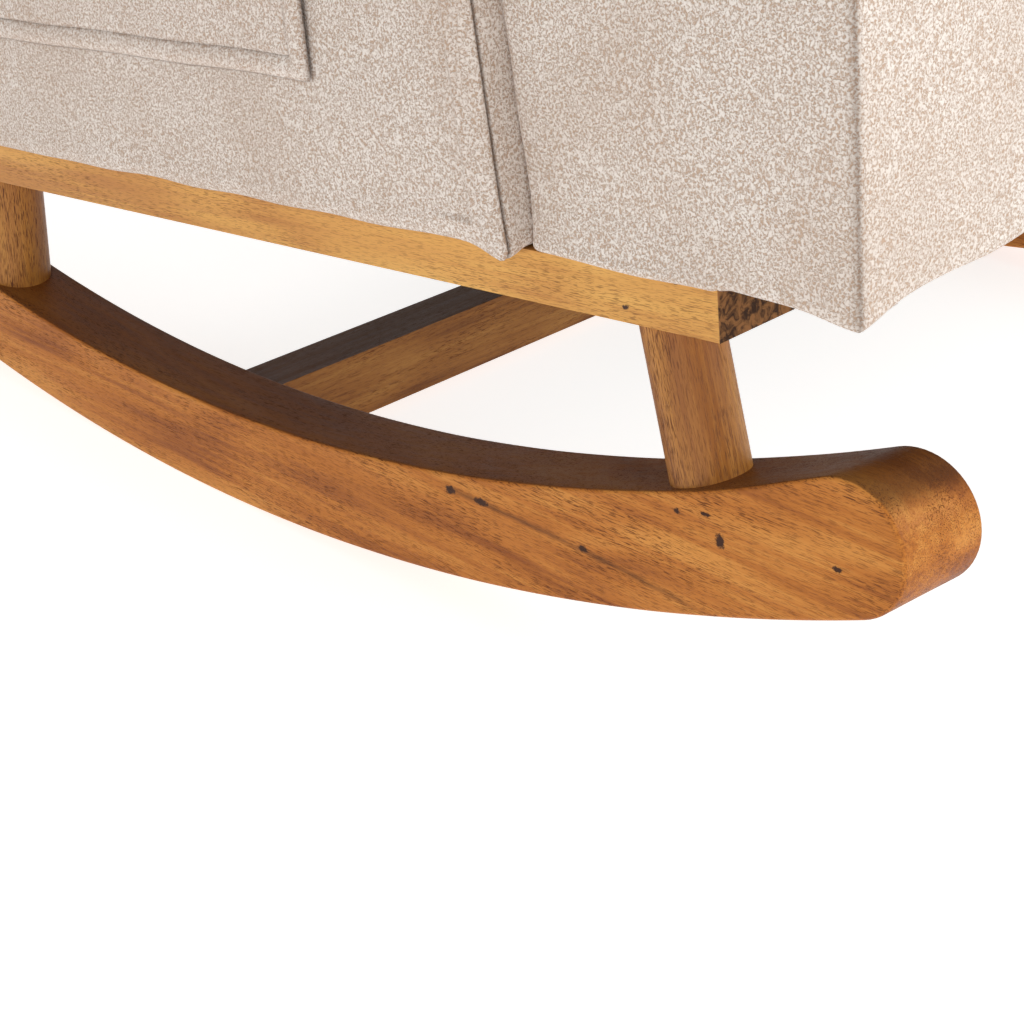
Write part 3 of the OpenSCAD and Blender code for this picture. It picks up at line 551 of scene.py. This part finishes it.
# The stretcher's tones are darker than the rails': partly its own board, partly painted shade from the seat above
# it.
stretcher_mat = wood("stretcher_oil", (0, 0, 90), (0.38, 0.173, 0.041), (0.29, 0.115, 0.024),
                     (0.15, 0.048, 0.009), 0.8, 9.2, painted_top_shade=0.8)
cover_mat = fabric("seat_chenille", (0.84, 0.765, 0.705), (0.50, 0.345, 0.245))
arm_mat = fabric("arm_chenille", (0.82, 0.74, 0.68), (0.48, 0.33, 0.235))
pocket_mat = fabric("pocket_chenille", (0.83, 0.75, 0.69), (0.49, 0.335, 0.24))
cushion_mat = fabric("cushion_chenille", (0.84, 0.765, 0.705), (0.50, 0.345, 0.245))
print("materials", len(bpy.data.materials))


# %% [markdown]
# ## The runners
#
# A runner is sawn from one thick board: the lower edge is an arc about a point at the height of a seated
# head, the upper edge is a slightly flatter arc from a lower centre, and each end is a full round that meets
# both. The long edges are only eased, by about two millimetres, so they stay crisp.

# %% Outline of a runner
RUNNER_T, RUNNER_X, EASE = 45.0, 297.5, 2.0
FRONT_IN, FRONT_SKEW, REAR_END = -17.72, 0.42, 27
LOW_C, TOP_C = np.array([ARC_Y, ARC_Z]), np.array([ARC_Y + 16.8, ARC_Z - 17])
TOP_R = ROLL_R - 55 - 16.8


def end_round(a):
    """Centre and radius of the round end that touches both arcs at angle a from straight down."""
    e = np.array([math.sin(a), -math.cos(a)])
    d = LOW_C - TOP_C
    k = d @ e
    r = (d @ d + 2 * ROLL_R * k + ROLL_R**2 - TOP_R**2) / (2 * (TOP_R + ROLL_R + k))
    return LOW_C + (ROLL_R - r) * e, r


def arc(centre, r, a0, a1, n):
    """n points of an arc from angle a0, leaving out its last."""
    t = np.linspace(a0, a1, n, endpoint=False)
    return centre + r * np.stack([np.cos(t), np.sin(t)], -1)


def runner_outline(inset, front_angle):
    """Lower arc, rear end, upper arc, front end, all moved in by inset; the front ends at front_angle."""
    front, rear = math.radians(front_angle), math.radians(REAR_END)
    (fc, fr), (rc, rr) = end_round(front), end_round(rear)
    fa, ra = (math.atan2(*(q - TOP_C)[::-1]) for q in (fc, rc))
    half_turn = math.pi / 2
    return np.concatenate([
        arc(LOW_C, ROLL_R - inset, front - half_turn, rear - half_turn, 200),
        arc(rc, rr - inset, rear - half_turn, ra + math.pi, 30),
        arc(TOP_C, TOP_R + inset, ra, fa, 200),
        arc(fc, fr - inset, fa + math.pi, front + 3 * half_turn, 30)])


def runner(name, side, mat):
    """The outline stacked from the outer to the inner face, with quarter rounds of EASE on the long edges.

    The front end was sanded on the skew: it ends at -17.3 degrees outside and -17.72 inside, and its outer
    upper edge rises by nearly three millimetres.
    """
    a = np.linspace(0, math.pi / 2, 6)
    out_x = np.concatenate([[RUNNER_T / 2], RUNNER_T / 2 - EASE * (1 - np.cos(a)), [RUNNER_T / 6]])
    inset = np.concatenate([[EASE + 1.0], EASE * (1 - np.sin(a)), [0]])
    levels = list(zip(out_x, inset)) + [(0.0, 0.0)] + [(-x, d) for x, d in list(zip(out_x, inset))[::-1]]
    rings = []
    for x, d in levels:
        outer = 0.5 + x / RUNNER_T
        line = runner_outline(d, FRONT_IN + FRONT_SKEW * outer)
        centre, r = end_round(math.radians(-17.3))
        rise = np.clip((22 - line[:, 0]) / 60, 0, 1)
        rise = rise * rise * (3 - 2 * rise) * np.clip((line[:, 1] - centre[1]) / r, 0, 1)
        line = line + np.outer(2.7 * outer * rise, [0, 1])
        rings.append(np.column_stack([np.full(len(line), side * (RUNNER_X + x)), line]))
    rings = np.array(rings)
    rings = rings + ripple(rings, 60, 0.10, 4)[..., None] * [side, 0, 1]
    return tube_of_rings(name, rings, mat, sharp=35)


near_runner = runner("near_runner", -1, rocker_mat)
far_runner = runner("far_runner", 1, far_rocker_mat)
for piece, node in ((near_runner, "left_rocker"), (far_runner, "right_rocker")):
    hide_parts(node)
print("runner points", len(near_runner.data.vertices))


# %% [markdown]
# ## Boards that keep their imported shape
#
# The rails, legs and cross stretcher are plain machined timber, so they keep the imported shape. They get
# timber of their own board and, where they were planed square, a half-millimetre eased edge.

# %% Rails, legs, stretcher and the pieces inside
def dress(node, mat, ease=0.0):
    """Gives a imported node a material, and an eased edge if asked."""
    mesh = nodes[node].data
    mesh.materials.clear()
    mesh.materials.append(mat)
    if ease:
        bevel = nodes[node].modifiers.new("eased", "BEVEL")
        bevel.width, bevel.segments, bevel.limit_method = ease, 2, "ANGLE"
        bevel.angle_limit = math.radians(40)
        bevel.harden_normals = True


for side in ("left", "right"):
    dress(side + "_rail", rail_mat, 0.0009)
    dress(side + "_front_leg", front_leg_mat)
    dress(side + "_rear_leg", rear_leg_mat)
dress("cross_stretcher", stretcher_mat, 0.0012)

inner = {
    "frame_board": wood("bare_board", (0, 0, 90), (0.72, 0.55, 0.36), (0.66, 0.47, 0.28), (0.5, 0.33, 0.18),
                        0.3, 2.0, 0.2),
    "hardboard": plain("hardboard", (0.20, 0.12, 0.06), (0.34, 0.22, 0.12), 900, 0.8),
    "bolt_steel": plain("dark_plated_steel", (0.18, 0.18, 0.19), (0.32, 0.32, 0.33), 700, 0.38, 1.0, 0.00003),
    "zinc_steel": plain("zinc_plate", (0.55, 0.56, 0.58), (0.72, 0.72, 0.70), 500, 0.35, 1.0, 0.00003),
    "spring_steel": plain("blued_wire", (0.10, 0.11, 0.13), (0.22, 0.23, 0.26), 800, 0.4, 1.0, 0.00003),
    "felt": plain("pressed_felt", (0.22, 0.21, 0.20), (0.42, 0.40, 0.38), 1200, 0.95, 0.0, 0.0006),
    "foam": plain("open_foam", (0.72, 0.64, 0.40), (0.86, 0.80, 0.58), 900, 0.92, 0.0, 0.0006),
    "webbing": plain("elastic_webbing", (0.62, 0.60, 0.55), (0.84, 0.82, 0.78), 500, 0.85, 0.0, 0.0005,
                     (1, 1, 6)),
    "dust_cloth": plain("non_woven_cloth", (0.012, 0.012, 0.013), (0.05, 0.05, 0.052), 1500, 0.9, 0.0,
                        0.0003),
    "zip_tape": plain("zip_tape", (0.40, 0.31, 0.24), (0.62, 0.52, 0.43), 1400, 0.85, 0.0, 0.0003, (1, 1, 3)),
    "zip_metal": plain("satin_zinc", (0.48, 0.46, 0.43), (0.66, 0.64, 0.60), 900, 0.3, 1.0, 0.00002),
}
for part in record["subparts"]:
    if part["material_slot"] in inner and part["node"] in nodes:
        dress(part["node"], inner[part["material_slot"]])
print("dressed", len(record["subparts"]), "nodes")


# %% [markdown]
# ## The seat box cover
#
# A band of cloth is wrapped round the seat box and sewn to the deck cloth. Two upright seams run down the
# front corners. At the foot the cloth is turned under and stapled, so its edge is soft, a little wavy, and
# hangs lowest at the corners, where four layers meet.

# %% Seat box cover
HALF_W, BODY_W = 320.0, 249.5
FRONT_Y, WING_Y, REAR_Y, DECK_Z = -72.0, 103.0, 540.0, 170.0


def t_plan(half, wing, front, notch, rear, radii, step):
    """T-shaped plan with rounded corners, from the front left: wide to y = notch, narrow behind it."""
    corners = [(-half, front), (half, front), (half, notch), (wing, notch), (wing, rear), (-wing, rear),
               (-wing, notch), (-half, notch)]
    return rounded(corners, radii, step)


ARM_Z0, ARM_RAKE, HEM_R, TOP_EDGE_R = 26.0, math.tan(math.radians(4)), 3.5, 11
plan = t_plan(HALF_W, BODY_W, FRONT_Y, WING_Y, REAR_Y, [3.0, 3.0, 5, 3, 6, 6, 3, 5], 2.6)
plan_in = inward(plan)
corner_near = np.minimum(np.linalg.norm(plan - [-HALF_W, FRONT_Y], axis=1),
                         np.linalg.norm(plan - [HALF_W, FRONT_Y], axis=1))
rows = []
foot = 24.4 - 8.0 * bump(corner_near, 0, 26) - 2.0 * bump(corner_near, 60, 40)
foot = foot + ripple(np.column_stack([plan, np.zeros(len(plan))]), 70, 0.9, 11)
on_rail = np.clip((np.abs(plan[:, 0]) - 266) / 4, 0, 1) * np.clip((plan[:, 1] + 6) / 8, 0, 1)
foot = foot * (1 - on_rail) + on_rail * (np.maximum(foot, 22.6) - 1.6)
for back in (30, 18, 9, 4.5):
    rows.append((back, np.maximum(foot + min(1.2 + 0.10 * back, 4), 24.6 * on_rail), 0))
for t in np.linspace(-math.pi / 2, 0, 6):
    rows.append((HEM_R * (1 - math.cos(t)), foot + HEM_R + HEM_R * math.sin(t), 0))
for h in np.linspace(0, 1, 60)[1:]:
    rows.append((0.0, foot + HEM_R + (DECK_Z - 12 - foot - HEM_R) * h, 1))
for t in np.linspace(0, math.pi / 2, 7)[1:]:
    rows.append((TOP_EDGE_R * (1 - math.cos(t)), np.full(len(plan), DECK_Z - 12 + TOP_EDGE_R * math.sin(t)), 0))
rings, seam_shade = [], []
for back, z, on_wall in rows:
    xy = plan + plan_in * back
    ring = np.column_stack([xy, z])
    height = np.clip((z - 30) / 60, 0, 1) * np.clip((DECK_Z - 12 - z) / 30, 0, 1)
    swell = 1.1 * height + ripple(ring, 170, 0.55, 21) + ripple(ring, 45, 0.16, 22)
    swell = swell * np.clip(corner_near / 14, 0.1, 1)
    notch = bump(corner_near, 0, 1.3)
    swell = swell * (on_wall * 0.9 + 0.1) + 2.0 * on_rail * np.clip(1 - (z - 24) / 24, 0, 1) * (back < 4)
    ring[:, :2] -= plan_in * (swell - 1.5 * notch)[:, None]
    ear_end = (np.abs(plan[:, 0]) > BODY_W + 4) * np.clip((plan[:, 1] - 60) / 40, 0, 1)
    ring[:, 1] += ear_end * np.clip(z - ARM_Z0, 0, 200) * ARM_RAKE
    rings.append(ring)
    # Painted shade in the upright corner seams: a thin dark line down each front corner.
    seam_shade.append(0.8 * bump(corner_near, 0, 2.4))
centre = np.array([0.0, 60.0])
last = rings[-1]
for k in np.linspace(1, 0.02, 26)[1:]:
    ring = last.copy()
    ring[:, :2] = centre + (last[:, :2] - centre) * k
    ring[:, 2] = DECK_Z - 1 - 1.6 * (1 - k) + ripple(ring, 200, 0.4, 23) * (1 - k)
    rings.append(ring)
    seam_shade.append(np.zeros(len(plan)))
pts = np.array(rings).reshape(-1, 3)
faces = grid_faces(len(rings), len(plan), True)
if volume(pts - pts.mean(0), faces) < 0:
    faces = [f[::-1] for f in faces]
faces.append(list(range((len(rings) - 1) * len(plan), len(rings) * len(plan))))
seat_box = make("seat_box_cloth", pts, faces, cover_mat, seam=np.array(seam_shade))
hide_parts("seat_cover")
print("seat box points", len(pts))


# %% [markdown]
# ## The arms
#
# An arm is a padded board in a sewn cover: two faces and a border between them. The seam runs along the
# front of the rounded edge, and its turnings are pushed towards the outer face, where they show as a soft
# ridge. The border's foot hangs a little lower than the faces.

# %% Arm covers
ARM_IN, ARM_OUT, ARM_T = 250.0, 340.0, 90
ARM_Z1 = 445.0


def arm_front_y(z):
    """The front of the arm, which rakes back by four degrees."""
    return 104 + (z - ARM_Z0) * ARM_RAKE


def back_rear_y(z):
    """The rear of the back and the arms, which rakes back by seven degrees."""
    return 600 + (z - 40) * math.tan(math.radians(7))


ARM_CORNERS = [(arm_front_y(ARM_Z0), ARM_Z0), (arm_front_y(ARM_Z1), ARM_Z1), (back_rear_y(ARM_Z1), ARM_Z1),
               (back_rear_y(ARM_Z0), ARM_Z0)]


def arm_line(inset):
    """The outline of an arm seen from the side, moved in by inset."""
    return rounded(ARM_CORNERS, [5, 55, 27, 8], 3.2, inset)


arm_mid = np.mean(ARM_CORNERS, 0)


def arm(name, side):
    """Rings from the outer face's middle, over its rounded edge and seam and the border, to the inner face."""
    edge, depth = 10.0, 4.5
    stack = []
    for k in np.linspace(0.03, 1, 44)[:-1]:
        stack.append((ARM_OUT, 20.0, k, 0.0))
    for d in np.arange(20, edge, -1.0):
        lift = 1.3 * bump(d, 12.5, 1.8) - 0.6 * bump(d, 16.0, 1.5)
        stack.append((ARM_OUT + lift, d, 1.0, 0.0))
    for t in np.linspace(0, math.pi / 2, 9)[:-1]:
        stack.append((ARM_OUT - depth * (1 - math.cos(t)), edge * (1 - math.sin(t)), 1.0, 0.0))
    # The fourth number of these rows is painted shade in the groove of the seam between the outer face and the
    # border.
    for x, d, m in ((depth + 0.2, 0.1, 0.1), (depth + 0.8, 0.9, 0.8), (depth + 1.3, 1.6, 0.9),
                    (depth + 1.8, 0.9, 0.8), (depth + 2.6, 0.0, 0.15), (depth + 4.2, -0.4, 0)):
        stack.append((ARM_OUT - x, d, 1.0, m))
    for x in np.linspace(depth + 7, ARM_T - 14, 18):
        stack.append((ARM_OUT - x, -0.5 - 0.7 * math.sin(math.pi * (x - depth) / 75), 1.0, 0.0))
    # Painted shade again in the groove where the border meets the inner face.
    for x, d, m in ((4.5, -0.4, 0), (2.9, 0.0, 0.15), (2.1, 0.9, 0.8), (1.5, 1.7, 1.0), (0.9, 0.9, 0.8),
                    (0.2, 0.1, 0.1)):
        stack.append((ARM_IN + 7 + x, d, 1.0, m))
    for t in np.linspace(math.pi / 2, 0, 7):
        stack.append((ARM_IN + 7 * (1 - math.cos(t)), 7 * (1 - math.sin(t)), 1.0, 0.0))
    for k in np.linspace(1, 0.03, 20)[1:]:
        stack.append((ARM_IN, 7.0, k, 0.0))
    rings, seam_shade = [], []
    for x, d, k, m in stack:
        yz = arm_mid + (arm_line(d) - arm_mid) * k
        lift = x - ARM_OUT if d > edge else 0.0
        front = np.clip((42 - (yz[:, 0] - arm_front_y(yz[:, 1]))) / 20, 0, 1)
        ring = np.column_stack([np.full(len(yz), x - lift) + lift * front, yz])
        crown = 2.2 * (1 - k**3) + ripple(ring, 150, 0.7, 31) * min(1, (1 - k) * 6 + 0.35)
        ring[:, 0] += crown * (1 if x > 300 else -0.05)
        z, y = ring[:, 2].copy(), ring[:, 1].copy()
        low = np.clip(1 - (z - ARM_Z0) / 30, 0, 1) ** 2
        outer = np.clip((x - 322) / 12, 0, 1)
        wave = ripple(np.column_stack([y * 0, y, y * 0]), 75, 1.0, 33)
        ring[:, 2] += low * outer * (0.6 * wave - 6.5 * bump(y, 106, 13) + 3.0)
        ring[:, 1] += low * outer * -1.5 * bump(y, 104, 18)
        ring[:, 0] *= side
        rings.append(ring)
        seam_shade.append(np.full(len(yz), m))
    return tube_of_rings(name, np.array(rings), arm_mat, seam=np.array(seam_shade))


for name, side, node in (("near_arm_cloth", -1, "left_arm_cover"), ("far_arm_cloth", 1, "right_arm_cover")):
    piece = arm(name, side)
    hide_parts(node)
print("arm points", len(piece.data.vertices))


# %% [markdown]
# ## The side pockets
#
# A patch pocket is one rectangle of the same cloth with its edges turned in and topstitched to the arm. The
# doubled edge stands up as a narrow welt, the stitches sink into a groove beside it, and the mouth is slack.

# %% Pockets
P_Y0, P_Y1, P_Z0, P_Z1 = 213.0, 553.0, 95.0, 345.0


def edge_spaced(a, b, n, near=(0, 1.2, 2.4, 4, 6, 8, 9, 10, 11, 12, 14, 17)):
    """Stations from a to b, close together near both ends."""
    near = np.array(near, float)
    middle = np.linspace(a + 20, b - 20, n)
    return np.concatenate([a + near, middle, (b - near)[::-1]])


def pocket(name, side):
    """A cloth grid over the arm's face: height above the face from slack, welt and stitch groove."""
    y, z = np.meshgrid(edge_spaced(P_Y0, P_Y1, 90), edge_spaced(P_Z0, P_Z1, 64))
    from_side = np.minimum(y - P_Y0, P_Y1 - y)
    from_foot, from_mouth = z - P_Z0, P_Z1 - z
    border = np.minimum(from_side, from_foot)
    up = np.clip((z - P_Z0) / (P_Z1 - P_Z0), 0, 1)
    slack = 8.0 * up**2 * np.sin(math.pi * (y - P_Y0) / (P_Y1 - P_Y0)) ** 0.7
    dash = 0.5 + 0.5 * np.sign(np.sin((y + z) * 2 * math.pi / 4.2))
    groove = bump(border, 10, 1.1)
    off = 3.0 + slack + 1.1 * bump(border, 4.5, 4.5) - 1.3 * groove - 2.2 * bump(border, 0, 1.3)
    off += 0.9 * bump(from_mouth, 6, 7) - 0.8 * bump(from_mouth, 20, 1.2)
    pts = np.stack([y * 0, y, z], -1)
    off += ripple(pts, 60, 0.35, 41) * np.clip(border / 15, 0, 1)
    sag = ripple(np.stack([y * 0, y, z * 0], -1), 90, 0.35, 42)
    pts[..., 2] += sag * (1 - up)
    pts[..., 0] = side * (ARM_OUT + 1.8 + off)
    # Painted shade: dark dashes in the stitch groove and a dark line along the pocket's edge where it meets the
    # arm.
    dark = 0.75 * bump(border, 10, 0.8) * (0.35 + 0.65 * dash) + 0.55 * bump(border, 0, 0.8)
    piece = make(name, pts, grid_faces(*y.shape, False, flip=side > 0), pocket_mat, seam=dark)
    solid = piece.modifiers.new("cloth", "SOLIDIFY")
    solid.thickness, solid.offset = 0.0016, -1
    return piece


for name, side, node in (("near_pocket_cloth", -1, "left_pocket"), ("far_pocket_cloth", 1, "right_pocket")):
    piece = pocket(name, side)
    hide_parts(node)
print("pocket points", len(piece.data.vertices))


# %% [markdown]
# ## Padding swollen by simulation
#
# The back and the loose cushion are foam in a tight sewn cover. Each starts as plain blocks a little smaller
# than the finished piece, welded into one skin. Air pressure inside a cloth simulation then swells the skin
# until it pulls, which gives the crowned faces, soft edges and small puckers of real upholstery.

# %% Skins and swelling
def block(outline, x0, x1):
    """Corners and faces of a solid with the outline [n, (y, z)] carried from x0 to x1."""
    n = len(outline)
    pts = np.concatenate([np.column_stack([np.full(n, x), outline]) for x in (x0, x1)])
    faces = [[i, (i + 1) % n, n + (i + 1) % n, n + i] for i in range(n)]
    return pts, faces + [list(range(n))[::-1], list(range(n, 2 * n))]


def skin(name, blocks, mat, voxel, body):
    """Blocks welded into one even skin by a voxel remesh."""
    pts, faces = [], []
    for block_pts, block_faces in blocks:
        base = sum(len(p) for p in pts)
        if volume(block_pts - block_pts.mean(0), block_faces) < 0:
            block_faces = [f[::-1] for f in block_faces]
        faces += [[base + i for i in f] for f in block_faces]
        pts.append(block_pts)
    piece = make(name, np.concatenate(pts), faces, mat, body)
    weld = piece.modifiers.new("weld", "REMESH")
    weld.mode, weld.voxel_size, weld.use_smooth_shade = "VOXEL", voxel, True
    bake(piece)
    return piece


def bake(piece):
    """Applies every modifier of the piece to its mesh."""
    graph = bpy.context.evaluated_depsgraph_get()
    mesh = bpy.data.meshes.new_from_object(piece.evaluated_get(graph))
    piece.modifiers.clear()
    piece.data = mesh


def points_of(piece):
    """The piece's points in chair millimetres."""
    flat = np.empty(len(piece.data.vertices) * 3)
    piece.data.vertices.foreach_get("co", flat)
    return to_chair(flat.reshape(-1, 3))


def move_points(piece, pts):
    """Puts the piece's points at these chair millimetres."""
    piece.data.vertices.foreach_set("co", to_row(pts).ravel())
    piece.data.update()


def relax(piece, rounds):
    """Each point moved half way to the mean of its neighbours, several times: rounds the blocks' edges."""
    edges = np.empty(len(piece.data.edges) * 2, int)
    piece.data.edges.foreach_get("vertices", edges)
    a, b = edges.reshape(-1, 2).T
    pts = points_of(piece)
    count = np.bincount(np.concatenate([a, b]), minlength=len(pts))[:, None]
    for _ in range(rounds):
        total = np.zeros_like(pts)
        for k in range(3):
            total[:, k] = np.bincount(a, pts[b, k], len(pts)) + np.bincount(b, pts[a, k], len(pts))
        pts = 0.5 * pts + 0.5 * total / count
    move_points(piece, pts)


def swell(piece, pressure, most):
    """Cloth under air pressure for twenty frames, with no point moved further than most millimetres."""
    start = points_of(piece)
    cloth = piece.modifiers.new("swell", "CLOTH")
    cloth.settings.quality = 5
    cloth.settings.mass = 0.3
    cloth.settings.tension_stiffness = cloth.settings.compression_stiffness = 18
    cloth.settings.bending_stiffness = 3
    cloth.settings.use_pressure = True
    cloth.settings.uniform_pressure_force = pressure
    cloth.settings.effector_weights.gravity = 0
    cloth.collision_settings.use_collision = False
    for number in range(1, 21):
        bpy.context.scene.frame_set(number)
    bake(piece)
    bpy.context.scene.frame_set(1)
    shift = points_of(piece) - start
    length = np.linalg.norm(shift, axis=1)[:, None]
    move_points(piece, start + shift * np.minimum(1, most / np.maximum(length, 1e-6)))
    print(piece.name, "moved at most", round(float(length.max()), 1), "mm before the cap")


def near_surface(piece, path):
    """For each point of a path, the nearest point of the piece and its outward normal."""
    pts = points_of(piece)
    normals = np.empty(len(pts) * 3)
    piece.data.vertices.foreach_get("normal", normals)
    normals = to_chair(normals.reshape(-1, 3)) - to_chair(np.zeros((1, 3)))
    best = np.concatenate([np.argmin(((pts[None] - part[:, None]) ** 2).sum(-1), 1)
                           for part in np.array_split(path, max(1, len(path) // 40))])
    return pts[best], unit(normals[best])


def welt(name, piece, path, mat, body, radius=1.9, sink=0.4):
    """A thin corded seam on the piece: a round section carried along the smoothed line nearest to the path."""
    pts, normal = near_surface(piece, path)
    for _ in range(6):
        pts, normal = ((np.roll(v, 1, 0) + v + np.roll(v, -1, 0)) / 3 for v in (pts, normal))
    normal = unit(normal)
    side = unit(np.cross(unit(np.roll(pts, -1, 0) - np.roll(pts, 1, 0)), normal))
    a = np.linspace(0, 2 * math.pi, 10, endpoint=False)
    centre = pts - normal * sink * radius
    turned = np.cos(a)[None, :, None] * side[:, None] + np.sin(a)[None, :, None] * normal[:, None]
    rings = centre[:, None] + radius * turned
    rows, cols = rings.shape[:2]
    pts = rings.reshape(-1, 3)
    faces = np.array(grid_faces(rows + 1, cols, True)) % (rows * cols)
    first = pts[faces[:, 0]]
    outward = pts[faces].mean(1) - np.repeat(centre, cols, 0)[faces[:, 0]]
    face_normal = np.cross(pts[faces[:, 1]] - first, pts[faces[:, 3]] - first)
    if np.einsum("ij,ij->", face_normal, outward) < 0:
        faces = faces[:, ::-1]
    return make(name, pts, faces.tolist(), mat, body, seam=np.full(rows * cols, 0.06))


print("simulation tools ready")


# %% [markdown]
# ## The back
#
# The back is a wedge of padding that leans back in front and stands nearly upright behind. It is narrow where
# it goes down between the arms and widens above them. A corded seam runs round its front and another round
# its rear.

# %% The back
BACK_HALF, BACK_TOP, SHOULDER = 249.0, 850.0, 447.0


def back_front_y(z):
    """The front of the back, which rakes by eleven degrees."""
    return 455 + (z - DECK_Z) * math.tan(math.radians(11))


def back_block(z_low, half, tight):
    """The part of the back above z_low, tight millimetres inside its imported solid."""
    zt = BACK_TOP - tight
    front, rear = (lambda z: back_front_y(z) + tight), (lambda z: back_rear_y(z) - tight)
    line = rounded([(front(z_low), z_low), (front(zt), zt), (rear(zt), zt), (rear(z_low), z_low)],
                   [2, 38, 26, 2], 14)
    return block(line, -half + tight, half - tight)


TIGHT = 6.0
low_line = np.array([(542 + TIGHT, 42 + TIGHT), (back_rear_y(42) - TIGHT, 42 + TIGHT),
                     (back_rear_y(200) - TIGHT, 200), (542 + TIGHT, 200)])
back = skin("back_cloth",
            [back_block(172 + TIGHT, BACK_HALF, TIGHT), back_block(SHOULDER + TIGHT, HALF_W, TIGHT),
             block(low_line, -BACK_HALF + TIGHT, BACK_HALF - TIGHT)], cushion_mat, 0.008, "chair")
relax(back, 3)
swell(back, 3.6, 13.0)
pts = points_of(back)
wide = pts[:, 2] > SHOULDER + 20
pts[wide, 0] *= (HALF_W + 1) / np.abs(pts[wide, 0]).max()
rise = np.clip((pts[:, 2] - 560) / 260, 0, 1)
pts[:, 2] += (BACK_TOP + 1 - pts[:, 2].max()) * rise * rise * (3 - 2 * rise)
inside = (pts[:, 2] < SHOULDER + 4) & (np.abs(pts[:, 0]) > 230)
pts[inside, 0] = np.clip(pts[inside, 0], -BACK_HALF + 0.4, BACK_HALF - 0.4)
pts[:, 0] = np.clip(pts[:, 0], -HALF_W - 6, HALF_W + 6)
over_arm = np.abs(pts[:, 0]) > BACK_HALF + 1
pts[over_arm, 2] = np.maximum(pts[over_arm, 2], SHOULDER + 1.5)
behind_seat = pts[:, 2] < 171.5
pts[behind_seat, 1] = np.maximum(pts[behind_seat, 1], 541.5)
pts += (ripple(pts, 140, 0.9, 51) + ripple(pts, 55, 0.3, 52))[:, None] * [0, 1, 0]
move_points(back, pts)
print("back points", len(pts), "x", pts[:, 0].min().round(1), pts[:, 0].max().round(1),
      "z", pts[:, 2].max().round(1))
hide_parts("back_cover", "back_foam")


def back_path(depth, inset):
    """The T-shaped line of a seam round the back, at a depth from 0 at the front to 1 at the rear."""
    line = t_plan(HALF_W - inset, BACK_HALF - inset, -(BACK_TOP - inset), -(SHOULDER + inset),
                  -(190 if depth < 0.5 else 60), [26, 26, 10, 10, 10, 10, 10, 10], 5)
    z = -line[:, 1]
    y0, y1 = back_front_y(z), back_rear_y(z)
    return np.column_stack([line[:, 0], y0 + (y1 - y0) * depth, z])


for name, depth in (("back_front_seam", 0.0), ("back_rear_seam", 1.0)):
    cord = welt(name, back, back_path(depth, 4), cushion_mat, "chair")

# %% [markdown]
# ## The loose seat cushion
#
# A box cushion cut in a T, so its ears pass in front of the arms. Its top and bottom panels are crowned, its
# border is upright, and a corded seam runs round both edges. The border's rear holds the zip.

# %% The cushion
C_Z0, C_Z1 = 170.4, 265.4
CUSHION_TIGHT = 7.0


def cushion_block(half, y0, y1):
    """The part of the cushion from y0 to y1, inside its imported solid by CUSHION_TIGHT."""
    t = CUSHION_TIGHT
    line = rounded([(y0 + t, C_Z0 + t), (y1 - t, C_Z0 + t), (y1 - t, C_Z1 - t), (y0 + t, C_Z1 - t)],
                   [3, 3, 3, 3], 14)
    return block(line, -half + t, half - t)


cushion = skin("seat_cushion_cloth", [cushion_block(318, -71, 106), cushion_block(248.5, -71, 448)],
               cushion_mat, 0.007, "cushion")
relax(cushion, 3)
swell(cushion, 3.4, 13.0)
pts = points_of(cushion)
pts[:, 2] = np.maximum(pts[:, 2], C_Z0 + 0.3)
narrow = pts[:, 1] > 101
pts[narrow, 0] = np.clip(pts[narrow, 0], -247.6, 247.6)
ears = np.abs(pts[:, 0]) > 249
pts[ears, 1] = np.minimum(pts[ears, 1], 103.5)
pts[:, 1] = np.clip(pts[:, 1], -76, 447.4)
pts[:, 0] = np.clip(pts[:, 0], -322, 322)
pts += (ripple(pts, 120, 0.9, 61) + ripple(pts, 50, 0.3, 62))[:, None] * [0, 0, 1] * (pts[:, 2:] > 240)
move_points(cushion, pts)
print("cushion points", len(pts), "z", pts[:, 2].max().round(1), "y", pts[:, 1].min().round(1),
      pts[:, 1].max().round(1))
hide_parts("seat_cushion", "cushion_core")

cushion_line = t_plan(316, 246.5, -69, 104, 446, [20, 20, 20, 14, 20, 20, 14, 20], 5)
for name, z in (("cushion_top_seam", C_Z1 - 3), ("cushion_foot_seam", C_Z0 + 5)):
    path = np.column_stack([cushion_line, np.full(len(cushion_line), z)])
    cord = welt(name, cushion, path, cushion_mat, "cushion")

# %% [markdown]
# ## The dust cloth
#
# Thin black non-woven cloth closes the underside. It is stapled to the boards and sags a little between them.

# %% Dust cloth
u, v = np.meshgrid(np.linspace(-1, 1, 60), np.linspace(0, 1, 70))
y = -58 + 584 * v
half = np.where(y < -3, 304.0, 267.0)
sag = 2.6 * (1 - u**2) * np.sin(math.pi * v)
wrinkle = ripple(np.stack([u * half, y, y * 0], -1), 90, 0.3, 71)
pts = np.stack([u * half, y, 23.9 - 0.4 - sag + wrinkle], -1)
dust = make("dust_cloth_sheet", pts, grid_faces(70, 60, False, flip=True), inner["dust_cloth"])
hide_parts("dust_cover")
print("dust cloth points", pts[..., 0].size)
